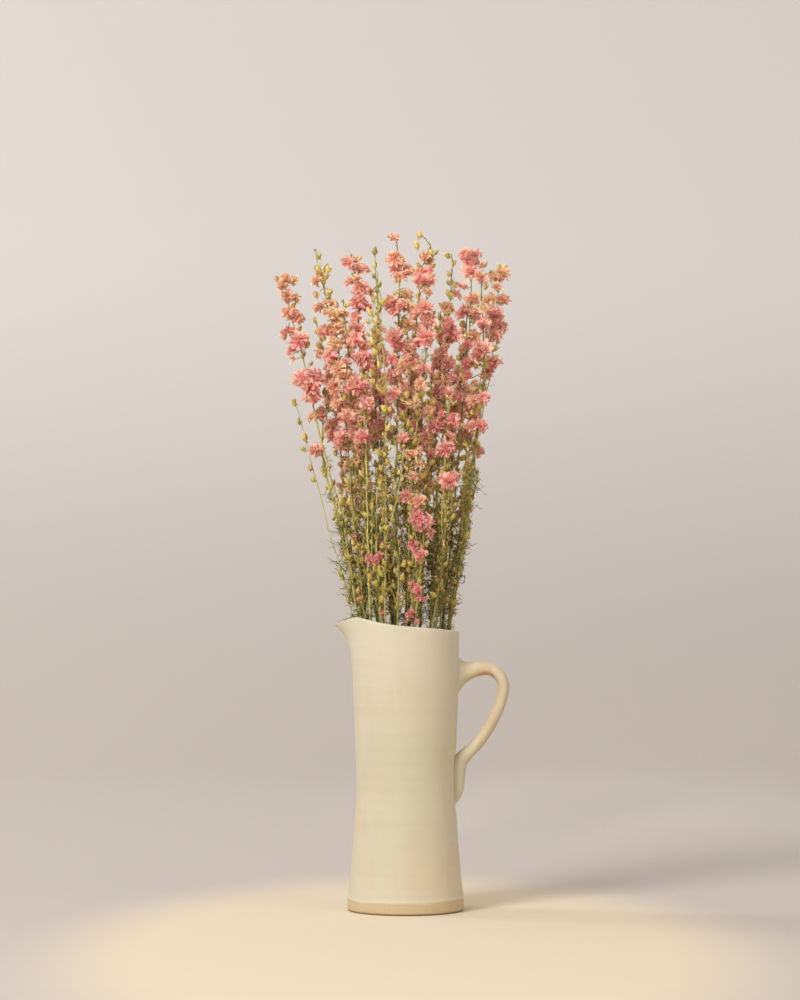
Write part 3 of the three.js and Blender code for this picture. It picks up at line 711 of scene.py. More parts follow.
def bud_material():
    n = Nodes("dried_bud")
    tone, along, across, grain = n.finish()
    skin = n.noise(n.stretched(n.place(), 1.0, 1.0, 0.45), 900.0)
    shifted = n.plus(n.plus(tone, n.swing(skin, 0.6)), n.times(grain, 0.12), clamp=True)
    colour = n.ramp(shifted, [
        (0.0, "9E9144"), (0.3, "C6B856"), (0.55, "E8D46E"), (0.8, "ECC076"), (1.0, "F0AA90"),
    ])
    # A pale tip, partly the bud's own colour and partly a painted highlight, and brown grooves between its
    # ribs
    colour = n.tint(colour, "F2E4AC", n.spread(along, 0.5, 1.0), 0.45)
    colour = n.tint(colour, "8A6F32", n.spread(across, 0.4, 0.0), 0.45)
    n.surface(colour, 0.75, sheen=0.1)
    n.let_light_through(colour, n.bump(skin, 0.6, 0.0005), 0.32)
    return n.material


def stalk_material():
    n = Nodes("dried_stalk")
    tone = n.finish()[0]
    streaks = n.noise(n.stretched(n.place(), 1.0, 1.0, 0.06), 1600.0)
    blotch = n.noise(n.place(), 60.0, detail=4.0)
    shifted = n.plus(n.plus(tone, n.swing(streaks, 0.5)), n.swing(blotch, 0.7), clamp=True)
    colour = n.ramp(shifted, [
        (0.0, "57492A"), (0.3, "8A8144"), (0.6, "B2A95F"), (0.85, "CABF7A"), (1.0, "D8CA94"),
    ])
    n.surface(colour, 0.7, specular=0.35)
    n.bump(streaks, 0.7, 0.0006)
    return n.material


def leaf_material():
    n = Nodes("dried_leaf")
    tone = n.finish()[0]
    blotch = n.noise(n.place(), 300.0)
    shifted = n.plus(tone, n.swing(blotch, 0.7), clamp=True)
    # The darkest leaf tones are partly painted shade for the inside of the bunch
    colour = n.ramp(shifted, [(0.0, "413F1F"), (0.35, "6F6B35"), (0.7, "A09A52"), (1.0, "C2B472")])
    n.surface(colour, 0.85)
    n.let_light_through(colour, n.bump(blotch, 0.5, 0.0004), 0.2)
    return n.material


def clay_material():
    """Matte cream glaze over pale clay, which shows bare as a band round the foot."""
    n = Nodes("matte_glaze")
    glazed, roll, wear_and_contact_shadow, _ = n.finish()
    place = n.place()
    x, _, z = n.parts(place)
    clouds = n.noise(place, 9.0, detail=4.0)
    rings = n.noise(n.stretched(place, 1.0, 1.0, 26.0), 7.0, detail=5.0)
    fine = n.noise(place, 900.0, detail=4.0)
    specks = n.noise(place, 420.0, detail=2.0)
    brushed = n.noise(n.stretched(place, 1.0, 1.0, 0.22), 75.0, detail=4.0)
    warm = n.noise(n.stretched(place, 1.0, 1.0, 0.7), 21.0, roughness=0.6)
    glaze = n.ramp(n.spread(clouds, 0.3, 0.7), [(0.0, "C8C3A8"), (0.5, "CDC5AD"), (1.0, "D0C6AE")])
    # The glaze lies thinner lower down, where it is peach and tan in patches
    low_down = n.spread(z, 0.2, 0.03, 0.3, 1.0)
    glaze = n.tint(glaze, "D3B792", n.spread(warm, 0.4, 0.75), n.times(low_down, 0.38))
    glaze = n.tint(glaze, "BDAE84", n.spread(brushed, 0.45, 0.8), 0.16)
    glaze = n.tint(glaze, "BFB48F", n.spread(rings, 0.48, 0.7), 0.13)
    glaze = n.tint(glaze, "A89873", n.spread(specks, 0.68, 0.78), 0.35)
    # Thin over the handle, and under its bend the clay's warm colour shows. The tan over the handle is partly
    # painted shade for the strap's darker side
    on_handle = n.spread(x, 0.054, 0.066)
    glaze = n.mix(n.times(on_handle, n.spread(brushed, 0.35, 0.65, 0.15, 0.6)), glaze, "C7AC80")
    from_bend = n.node("ShaderNodeVectorMath", {0: place, 1: THIN_GLAZE}, operation="DISTANCE")
    glaze = n.tint(glaze, "BC7A4E", n.spread(from_bend.outputs["Value"], 0.0118, 0.0075), 0.5)
    # A pale roll of glaze stands at its lower edge
    glaze = n.tint(glaze, "D9D1B8", n.spread(roll, 0.0, 1.0), 0.5)
    clay = n.mix(n.spread(fine, 0.3, 0.7), "C4B088", "CCB892")
    clay = n.tint(clay, "BBA57C", n.spread(rings, 0.45, 0.65), 0.4)
    # Darker at the very bottom of the foot: partly wear, partly painted contact shadow
    clay = n.tint(clay, "7C5C38", wear_and_contact_shadow, 0.8)
    n.surface(n.mix(glazed, clay, glaze), 0.62, specular=0.35)
    height = n.plus(n.times(rings, 0.5), n.times(fine, 0.3))
    n.bump(n.plus(height, n.times(clouds, 0.6)), 0.25, 0.0006)
    return n.material


# The jug


def pull_spout(radius, height, even):
    """Leans a turned wall into the slanting rim and pulls out the spout. even is the angle from the spout."""
    angle = even - SPOUT_SIDE_DRAW * np.sin(even)
    spout = np.exp(-((angle / SPOUT_HALF_ANGLE) ** 2))
    level = np.minimum(height, JUG_HEIGHT)
    dip = RIM_DIP * np.sin(angle) ** 2 * (1.0 + RIM_DIP_LEAN * np.cos(angle))
    slope = (RIM_SLOPE * np.cos(angle) - dip) * smoothstep(level, SLOPE_ROOT, JUG_HEIGHT)
    lean = np.maximum(0.0, (level - SPOUT_ROOT) / (JUG_HEIGHT - SPOUT_ROOT))
    pull = spout * smoothstep(radius, 0.0, WAIST_RADIUS - WALL)
    pulled = radius + pull * SPOUT_REACH * lean**SPOUT_LEAN_POWER
    raised = height + slope - pull * SPOUT_DIP * lean**SPOUT_DIP_POWER
    return np.stack([-pulled * np.cos(angle), pulled * np.sin(angle), raised], axis=-1)


def wall_radius(height):
    """Radius of the outside of the turned wall at a height."""
    course = smooth_course([
        (FOOT_RADIUS, 3.5), (FOOT_RADIUS, 9), (54.8, 36), (50.4, 90), (WAIST_RADIUS, 124), (50.6, 175),
        (52.8, 222), (RIM_RADIUS, 246), (RIM_RADIUS, 262), (RIM_RADIUS, JUG_HEIGHT),
    ], 240)
    return np.interp(height, course[:, 1], course[:, 0])


def glaze_edge(even):
    """Height at which the glaze stops above the foot, round the jug."""
    waves = 0.7 * np.sin(2 * even + 0.6) + 0.4 * np.sin(5 * even + 2.0) + 0.2 * np.sin(11 * even)
    return GLAZE_EDGE + waves


def throwing_marks(height, even):
    """The slight rings and unevenness that a thrown wall keeps."""
    rings = 0.07 * np.sin(height / 1.9 + 1.3 * np.sin(even)) * (0.6 + 0.4 * np.sin(height / 17.0))
    bands = 0.1 * np.sin(height / 6.3 + 0.5 * np.sin(2 * even + 1.0))
    hand = 0.3 * np.sin(2 * even + height / 70.0) + 0.14 * np.sin(3 * even - height / 45.0 + 1.0)
    calmed = smoothstep(height, 12.0, 40.0) * (1 - 0.7 * smoothstep(height, 262.0, 280.0))
    return (rings + bands + hand) * calmed


def turned(outline, shaped):
    """A closed turned form from an outline (radius, height) that starts and ends on the axis."""
    even = 2 * math.pi * (np.arange(JUG_SIDES) + 0.5) / JUG_SIDES - math.pi
    inner = np.array(outline[1:-1])
    radius = np.broadcast_to(inner[:, :1], (len(inner), JUG_SIDES)).copy()
    height = np.broadcast_to(inner[:, 1:], (len(inner), JUG_SIDES))
    radius = shaped(radius, height, even)
    skin = pull_spout(radius, height, np.broadcast_to(even, radius.shape)).reshape(-1, 3)
    poles = np.array([(0.0, 0.0, outline[0][1]), (0.0, 0.0, outline[-1][1])])
    return np.vstack([skin, poles]), capped_faces(len(inner), JUG_SIDES, flipped=True)


def rounded(centre, level, radius, angles):
    """Points of a round corner, as (radius, height)."""
    return [(centre + radius * math.cos(a), level + radius * math.sin(a)) for a in angles]


def jug_outline():
    """The turned outline: underside, foot edge, outside, round lip, inside and floor."""
    right_angle = math.pi / 2
    flat = FOOT_RADIUS - FOOT_ROUNDING
    underside = [(0.0, 0.0)] + [(r, 0.0) for r in np.linspace(4.0, flat, 14)]
    edge = rounded(flat, FOOT_ROUNDING, FOOT_ROUNDING, np.linspace(0.3 - right_angle, 0.0, 6))
    low = [(float(wall_radius(z)), z) for z in np.arange(3.4, 14.0, 0.8)]
    rise = [(float(wall_radius(z)), z) for z in np.linspace(14.8, JUG_HEIGHT - 2.2, 118)]
    lip_inside = RIM_RADIUS - WALL + LIP_THINNING
    lip_radius = (RIM_RADIUS - lip_inside) / 2
    lip_angles = np.linspace(0.15, math.pi - 0.15, 9)
    lip = rounded(lip_inside + lip_radius, JUG_HEIGHT - lip_radius, lip_radius, lip_angles)
    # The wall is thickest at the foot, and thinner at the lip
    levels = [13.0, 36.0, 60.0, 262.0, JUG_HEIGHT - 2.4]
    walls = [8.4, 5.0, WALL, WALL, WALL - LIP_THINNING]
    inside = [
        (float(wall_radius(z) - np.interp(z, levels, walls)), z)
        for z in np.linspace(JUG_HEIGHT - 3.2, 14.0, 48)
    ]
    corner = inside[-1][0]
    heel = rounded(corner - HEEL_ROUNDING, 14.0, HEEL_ROUNDING, -np.linspace(0.25, right_angle, 6))
    floor = [(r, FLOOR_THICKNESS) for r in np.linspace(corner - 10.0, 4.0, 9)]
    return underside + edge + low + rise + lip + inside + heel + floor + [(0.0, FLOOR_THICKNESS)]


def as_thrown(radius, height, even):
    """Adds the throwing marks to the walls, and the glaze's thickness above the foot band."""
    outside = radius > wall_radius(height) - 1.0
    marks = throwing_marks(height, even) * (radius > 30.0)
    step = GLAZE_THICKNESS * (1 - smoothstep(height, glaze_edge(even) - 0.6, glaze_edge(even) + 0.6))
    return radius + marks - step * outside


def handle_skin():
    """The pulled strap: thick where it leaves the wall, thinner round its bend, pressed on at its tail."""
    # Course as (x, z, half thickness, half width)
    course = smooth_course([
        (44.0, 231.5, 22.0, 14.5), (49.0, 232.0, 21.0, 13.6), (53.4, 232.8, 18.2, 12.4),
        (57.0, 234.2, 13.2, 11.3), (61.5, 235.6, 9.9, 10.4), (68.0, 237.4, 7.9, 9.8),
        (77.5, 239.0, 6.7, 9.5), (86.8, 237.2, 6.2, 9.4), (94.2, 231.2, 5.9, 9.4), (97.6, 222.2, 5.8, 9.4),
        (95.9, 210.1, 5.9, 9.5), (90.3, 195.2, 5.9, 9.5), (83.9, 181.8, 5.9, 9.5), (76.2, 170.4, 6.0, 9.5),
        (67.4, 160.2, 6.1, 9.5), (59.2, 152.8, 7.0, 9.5), (53.2, 146.0, 8.2, 9.6), (50.4, 136.5, 9.4, 9.5),
        (50.2, 127.5, 9.0, 9.2), (49.6, 119.5, 8.3, 8.4), (48.0, 112.5, 6.6, 7.2), (45.6, 105.5, 4.4, 5.4),
        (43.4, 99.0, 3.0, 4.0),
    ], 130)
    place = np.column_stack([course[:, 0], np.zeros(len(course)), course[:, 1]])
    out = np.cross([0.0, 1.0, 0.0], units(np.gradient(place, axis=0)))
    # Where it springs from the wall, the strap's sections stand upright
    upright = 1.0 - smoothstep(np.arange(len(course)) / len(course), 0.05, 0.2)[:, None]
    out = units(out * (1.0 - upright) + np.sign(out[0, 2]) * UP * upright)
    sides = 36
    angles = 2 * math.pi * np.arange(sides) / sides
    # A slightly flattened oval, with a shallow groove down the outer face
    across = np.sign(np.sin(angles)) * np.abs(np.sin(angles)) ** 0.9
    thick = np.sign(np.cos(angles)) * np.abs(np.cos(angles)) ** 0.85
    steps = np.linspace(0.0, 1.0, len(course))[:, None]
    hand = 1.0 + 0.03 * np.sin(23 * steps + 2 * np.cos(angles)) + 0.02 * np.sin(41 * steps + 1.0)
    skin = place[:, None] + (
        out[:, None] * (course[:, 2:3] * thick * hand)[:, :, None]
        + np.array([0.0, 1.0, 0.0]) * (course[:, 3:4] * across * hand)[:, :, None]
    )
    points = np.vstack([skin.reshape(-1, 3), place[:1], place[-1:]])
    return points, capped_faces(len(course), sides, flipped=True)


def scratch_object(points, faces):
    mesh = bpy.data.meshes.new("scratch")
    mesh.from_pydata((points * MM).tolist(), [], [[i for i in face if i >= 0] for face in faces.tolist()])
    return add_object("scratch", mesh)


def combined(first, second, operation):
    """Cuts or joins two scratch objects, and clears them away. Gives one new scratch object."""
    boolean = first.modifiers.new("combine", "BOOLEAN")
    boolean.operation = operation
    boolean.object = second
    boolean.solver = "MANIFOLD"
    shown = first.evaluated_get(bpy.context.evaluated_depsgraph_get())
    mesh = bpy.data.meshes.new_from_object(shown)
    for spent in (first, second):
        bpy.data.objects.remove(spent)
    return add_object("scratch", mesh)


def soften(points, edges, share):
    """Moves points towards the middle of their neighbours, by each point's share."""
    for _ in range(10):
        total = np.zeros_like(points)
        count = np.zeros(len(points))
        for a, b in ((0, 1), (1, 0)):
            np.add.at(total, edges[:, a], points[edges[:, b]])
            np.add.at(count, edges[:, a], 1.0)
        middle = total / np.maximum(count, 1.0)[:, None]
        points = points + (middle - points) * share[:, None]
    return points


def smooth_into_wall(points, edges):
    """Smooths the strap's roots into the jug's wall."""
    x, y, z = points.T
    outside = np.hypot(x, y) - wall_radius(z)
    near = (x > 40) & (np.abs(y) < 22) & (z > 90) & (z < 262) & (outside > -2.0)
    skin, _ = handle_skin()
    from_strap = np.full(len(points), 99.0)
    chosen = np.flatnonzero(near)
    for part in np.array_split(chosen, max(1, len(chosen) // 400)):
        gaps = np.linalg.norm(points[part][:, None] - skin[None], axis=2)
        from_strap[part] = gaps.min(axis=1)
    share = 0.8 * smoothstep(np.abs(outside), 4.0, 1.2) * smoothstep(from_strap, 4.5, 2.0)
    return soften(points, edges, share)


def jug_finish(points):
    """How far each point is glazed, how near the glaze's rolled edge it is, and how dark its bottom edge is,
    from wear and a painted contact shadow.
    """
    x, y, height = points.T
    edge = glaze_edge(np.arctan2(y, -x))
    glazed = smoothstep(height, edge - 0.7, edge + 0.9)
    # The inside is glazed all over, the underside not at all
    glazed = np.where(np.hypot(x, y) < wall_radius(height) - 1.5, 1.0, glazed)
    glazed = np.where(height < 1.0, 0.0, glazed)
    roll = smoothstep(height, edge - 0.4, edge + 1.2) * smoothstep(height, edge + 5.5, edge + 1.5)
    # Darkest at the very bottom edge of the foot: partly wear, partly painted contact shadow
    wear_and_contact_shadow = smoothstep(height, 2.3, 0.9)
    return np.column_stack([glazed, roll, wear_and_contact_shadow, np.ones(len(points))])


def build_jug(material):
    """The turned body and its strap, which is cut off inside the wall and joined on."""
    body = scratch_object(*turned(jug_outline(), as_thrown))
    core_outline = [(0.0, -5.0)] + [(float(wall_radius(z)) - WALL / 2, z) for z in np.linspace(-5, 290, 60)]
    core = scratch_object(*turned(core_outline + [(0.0, 290.0)], lambda radius, height, even: radius))
    strap = combined(scratch_object(*handle_skin()), core, "DIFFERENCE")
    jug = combined(body, strap, "UNION")
    mesh = jug.data
    points = np.empty(len(mesh.vertices) * 3)
    mesh.vertices.foreach_get("co", points)
    edges = np.empty(len(mesh.edges) * 2, np.int32)
    mesh.edges.foreach_get("vertices", edges)
    points = smooth_into_wall(points.reshape(-1, 3) / MM, edges.reshape(-1, 2))
    mesh.vertices.foreach_set("co", (points * MM).astype(np.float32).ravel())
    jug.name = "jug_body"
    mesh.name = "jug_body"
    dress(jug, jug_finish(points), material, "jug")


# Petals, florets and buds. Each pattern is made at a reach of 1, facing +Z, with its spur towards +X.


def petal(random, turn, length, width, lift, curl, cup, low, rows, columns, fullest, point, loose):
    """One petal, as points, faces and finish. lift is its angle above the floret's plane, and curl is how far
    it bends on to its tip."""
    along = np.linspace(0.0, 1.0, rows)[:, None]
    across = np.linspace(-1.0, 1.0, columns)[None, :]
    reach = along * (1.0 - point * across**2 * along)
    angle = lift + curl * reach + random.normal(0.0, 0.1)
    mean_angle = lift + 0.5 * curl * reach
    out = 0.05 + length * reach * np.cos(mean_angle)
    up = low + length * reach * np.sin(mean_angle)
    half = width * (0.2 + 0.8 * np.sin(math.pi * np.clip(along, 0.0, 0.96) ** fullest) ** 0.6)
    waves = random.uniform(5.0, 9.0)
    phase = random.uniform(0.0, 2 * math.pi, 3)
    ruffle = 0.08 * (0.3 + along) * np.sin(waves * along + phase[0] + 1.9 * across) * (0.3 + across**2)
    crease = 0.03 * np.sin(7 * across + phase[1]) * along
    raised = cup * half * across**2 + length * loose * (ruffle + crease)
    twist = random.normal(0.0, 0.5) * loose * along
    bend = random.normal(0.0, 0.12) * loose * length * along**2
    side = half * across * np.cos(twist) + bend
    raised = raised + half * across * np.sin(twist)
    out = out - raised * np.sin(angle)
    up = up + raised * np.cos(angle)
    points = np.stack([
        out * math.cos(turn) - side * math.sin(turn),
        out * math.sin(turn) + side * math.cos(turn),
        up,
    ], axis=-1).reshape(-1, 3)
    # One petal in six has dried further
    tone = random.normal(0.0, 0.07) + 0.3 * loose * (random.uniform() < 0.17)
    grain = random.uniform()
    finish = np.stack(np.broadcast_arrays(tone, along, np.abs(across), grain), axis=-1).reshape(-1, 4)
    return points, grid_faces(rows, columns), finish


def add_spur(form, knots, radii, tone):
    """The tapering spur behind a floret or bud."""
    form.tube(bezier(*np.array(knots), len(radii)), radii, 4, tone, 0.4)


def floret_pattern(seed, whorls, spur=True, loose=1.0):
    """A whole floret. Each whorl is (count, length, width, lift, curl, cup, low, rows, columns, fullest,
    point)."""
    random = np.random.default_rng(seed)
    form = Form()
    for count, length, width, lift, curl, cup, *rest in whorls:
        first = random.uniform(0.0, 2 * math.pi)
        for i in range(count):
            turn = first + 2 * math.pi * (i + random.uniform(-0.4, 0.4)) / count
            form.add(*petal(
                random, turn, length * random.uniform(0.78, 1.1), width * random.uniform(0.75, 1.2),
                lift + random.normal(0.0, 0.2) * loose, curl + random.normal(0.0, 0.45) * loose,
                cup * random.uniform(0.3, 1.6), *rest, loose,
            ))
    if spur:
        knots = [(0.12, 0.0, -0.2), (0.3, 0.0, -0.55), (0.5, 0.1, -0.85), (0.85, 0.15, -0.95)]
        add_spur(form, knots, [0.13, 0.11, 0.075, 0.035], 0.1)
        # The green cup that the petals stand in
        form.tube(np.outer([-0.5, -0.36, -0.18], UP), [0.05, 0.15, 0.12], 5, 0.45, 0.2)
    return form.arrays()


DOUBLE_WHORLS = [
    (7, 0.94, 0.21, -0.45, 0.4, 1.0, -0.24, 4, 3, 1.9, 0.1),
    (10, 1.0, 0.2, -0.1, 0.4, 1.1, -0.2, 4, 3, 2.0, 0.1),
    (11, 0.95, 0.18, 0.22, 0.4, 1.2, -0.16, 4, 3, 2.0, 0.1),
    (10, 0.83, 0.16, 0.55, 0.5, 1.2, -0.1, 4, 3, 2.0, 0.1),
    (7, 0.62, 0.15, 0.95, 0.5, 1.2, -0.04, 4, 3, 1.9, 0.1),
]
SPIKY_WHORLS = [
    (6, 0.92, 0.2, -0.2, 0.3, 1.0, -0.26, 4, 3, 1.8, 0.15),
    (9, 1.0, 0.18, 0.2, 0.4, 1.1, -0.24, 4, 3, 1.9, 0.15),
    (10, 0.95, 0.16, 0.5, 0.4, 1.2, -0.2, 4, 3, 1.9, 0.15),
    (9, 0.86, 0.14, 0.8, 0.4, 1.2, -0.14, 4, 3, 1.9, 0.15),
    (5, 0.72, 0.12, 1.15, 0.3, 1.2, -0.1, 4, 3, 1.8, 0.15),
]
HALF_OPEN_WHORLS = [
    (5, 1.15, 0.38, 0.5, 0.35, 0.6, -0.5, 5, 4, 1.5, 0.2),
    (5, 1.1, 0.29, 0.85, 0.3, 0.6, -0.45, 5, 4, 1.5, 0.2),
    (4, 1.0, 0.2, 1.25, 0.2, 0.7, -0.4, 4, 3, 1.4, 0.2),
]
OPENING_WHORLS = [
    (6, 1.65, 0.34, 0.6, 1.35, 0.5, -1.0, 4, 3, 1.2, 0.15),
    (6, 1.65, 0.24, 0.95, 0.8, 0.6, -0.95, 4, 3, 1.3, 0.15),
    (5, 1.5, 0.17, 1.2, 0.4, 0.7, -0.9, 4, 3, 1.3, 0.15),
]
CALYX_WHORLS = [
    (5, 1.95, 0.38, 0.55, 1.9, 0.5, -1.1, 5, 3, 1.15, 0.25),
    (3, 1.8, 0.2, 0.95, 1.1, 0.3, -1.05, 3, 3, 1.2, 0.25),
]
SMALL_CALYX_WHORLS = [
    (5, 1.95, 0.4, 0.6, 1.8, 0.5, -1.1, 4, 3, 1.1, 0.25),
    (2, 1.75, 0.22, 1.1, 0.7, 0.3, -1.05, 3, 3, 1.2, 0.25),
]
DOUBLE = [floret_pattern(seed, DOUBLE_WHORLS) for seed in range(10)]
SPIKY = [floret_pattern(seed, SPIKY_WHORLS) for seed in range(20, 27)]
HALF_OPEN = [floret_pattern(seed, HALF_OPEN_WHORLS) for seed in range(40, 46)]


def bud_pattern(seed, sides, rings, spurred):
    """A closed bud: five ribbed sepals drawn to a point, with a short spur."""
    random = np.random.default_rng(seed)
    form = Form()
    along = np.linspace(0.04, 0.985, rings)
    share = along[:, None]
    angles = 2 * math.pi * np.arange(sides) / sides
    ribs = np.cos(5 * angles + random.uniform(-0.5, 0.5) * share)
    uneven = 1.0 + 0.06 * np.cos(angles + random.uniform(0, 6))
    swell = np.sin(math.pi * share**0.72) ** 0.85 * (1.0 - 0.15 * share)
    radius = (0.72 if spurred else 0.84) * swell * (1.0 + 0.11 * ribs) * uneven
    bend = 0.18 * random.normal() * share**2
    skin = np.stack([
        radius * np.cos(angles) + bend,
        radius * np.sin(angles),
        -1.15 + 2.4 * share + 0.0 * angles,
    ], axis=-1).reshape(-1, 3)
    points = np.vstack([skin, (0.0, 0.0, -1.2), (bend[-1, 0], 0.0, 1.25)])
    along = np.append(np.repeat(along, sides), [0.0, 1.0])
    across = np.append(0.5 + 0.5 * ribs, [0.5, 0.5])
    finish = np.column_stack([0.0 * along, along, across, 0.0 * along + 0.5])
    form.add(points, capped_faces(rings, sides, flipped=True), finish)
    if spurred:
        knots = [(0.2, 0.0, -0.8), (0.42, 0.0, -1.1), (0.6, 0.0, -1.4), (0.95, 0.0, -1.5)]
        add_spur(form, knots, [0.2, 0.16, 0.1, 0.04], 0.0)
    return form.arrays()


CLOSED_BUDS = [bud_pattern(seed, 10, 6, spurred=True) for seed in range(60, 66)]
SMALL_BUDS = [bud_pattern(seed, 7, 5, spurred=False) for seed in range(80, 85)]
OPENING_BUDS = [floret_pattern(seed, OPENING_WHORLS, loose=0.45) for seed in range(70, 75)]
CALYXES = [floret_pattern(seed, CALYX_WHORLS, spur=False, loose=0.3) for seed in range(110, 116)]
SMALL_CALYXES = [floret_pattern(seed, SMALL_CALYX_WHORLS, spur=False, loose=0.3) for seed in range(120, 126)]


def leaf_pattern(seed):
    """A dried, finely cut leaf of length 1 along +Z: narrow strips that fork twice and curl."""
    random = np.random.default_rng(seed)
    form = Form()

    def strip(root, heading, length, forks):
        course, heading = wander(random, root, heading, length, 3, 0.32, 0.15)
        form.strip(course, LEAF_STRIP * np.array([0.8, 1.0, 0.9, 0.3 + 0.4 * (forks > 0)]), random)
        for _ in range(forks):
            fanned = unit(heading + 0.2 * UP + random.normal(0.0, 0.45, 3))
            strip(course[-1], fanned, length * random.uniform(0.75, 1.3), forks - 1)

    strip(np.zeros(3), UP, 0.25, 0)
    for _ in range(3):
        strip(0.22 * UP, unit(UP + random.normal(0.0, 0.4, 3)), 0.32, 2)
    return form.arrays()


LEAF_PATTERNS = [leaf_pattern(seed) for seed in range(90, 102)]


def facing_frame(facing, spin):
    """Where a pattern's X, Y and Z go, as rows: Z the way it faces, X as near upwards as the spin lets."""
    aside = np.cross(UP, facing)
    aside = unit(aside) if np.linalg.norm(aside) > 0.05 else np.array([0.0, 1.0, 0.0])
    top = np.cross(facing, aside)
    x_axis = math.cos(spin) * top + math.sin(spin) * aside
    return np.array([x_axis, np.cross(facing, x_axis), facing])


def put_pattern(form, pattern, centre, facing, size, tone, random, spin=0.5, crumple=0.06):
    """Adds a pattern to a form, crumpled and toned a little differently each time."""
    points, faces, finish = pattern
    shape = points * (1.0 + random.normal(0.0, 0.06, 3))
    for _ in range(2):
        wave = random.normal(0.0, 2.2, 3)
        shift = random.normal(0.0, crumple, 3)
        shape = shape + np.sin(shape @ wave + random.uniform(0.0, ANY_PHASE))[:, None] * shift
    placed = centre + size * (shape @ facing_frame(facing, random.normal(0.0, spin)))
    toned = finish.copy()
    toned[:, 0] = np.clip(tone + finish[:, 0] + random.normal(0.0, 0.04), VIVID, 1.0)
    toned[:, 3] = (finish[:, 3] + random.uniform()) % 1.0
    form.add(placed, faces, toned)


# The stems


def fan_at(z):
    """How wide the bunch is at a height, against its width in the jug's mouth."""
    if z < MOUTH_HEIGHT:
        return FOOT_GATHER + (1 - FOOT_GATHER) * max(0.0, z) / MOUTH_HEIGHT
    return 1 + (TOP_SPREAD - 1) * (z - MOUTH_HEIGHT) / (BUNCH_TOP - MOUTH_HEIGHT)


def seen_at(x, z, depth):
    """Moves a place seen from the front back or forward along the line of sight."""
    along = (depth - EYE[1]) / -EYE[1]
    return np.array([EYE[0] + (x - EYE[0]) * along, depth, EYE[2] + (z - EYE[2]) * along])


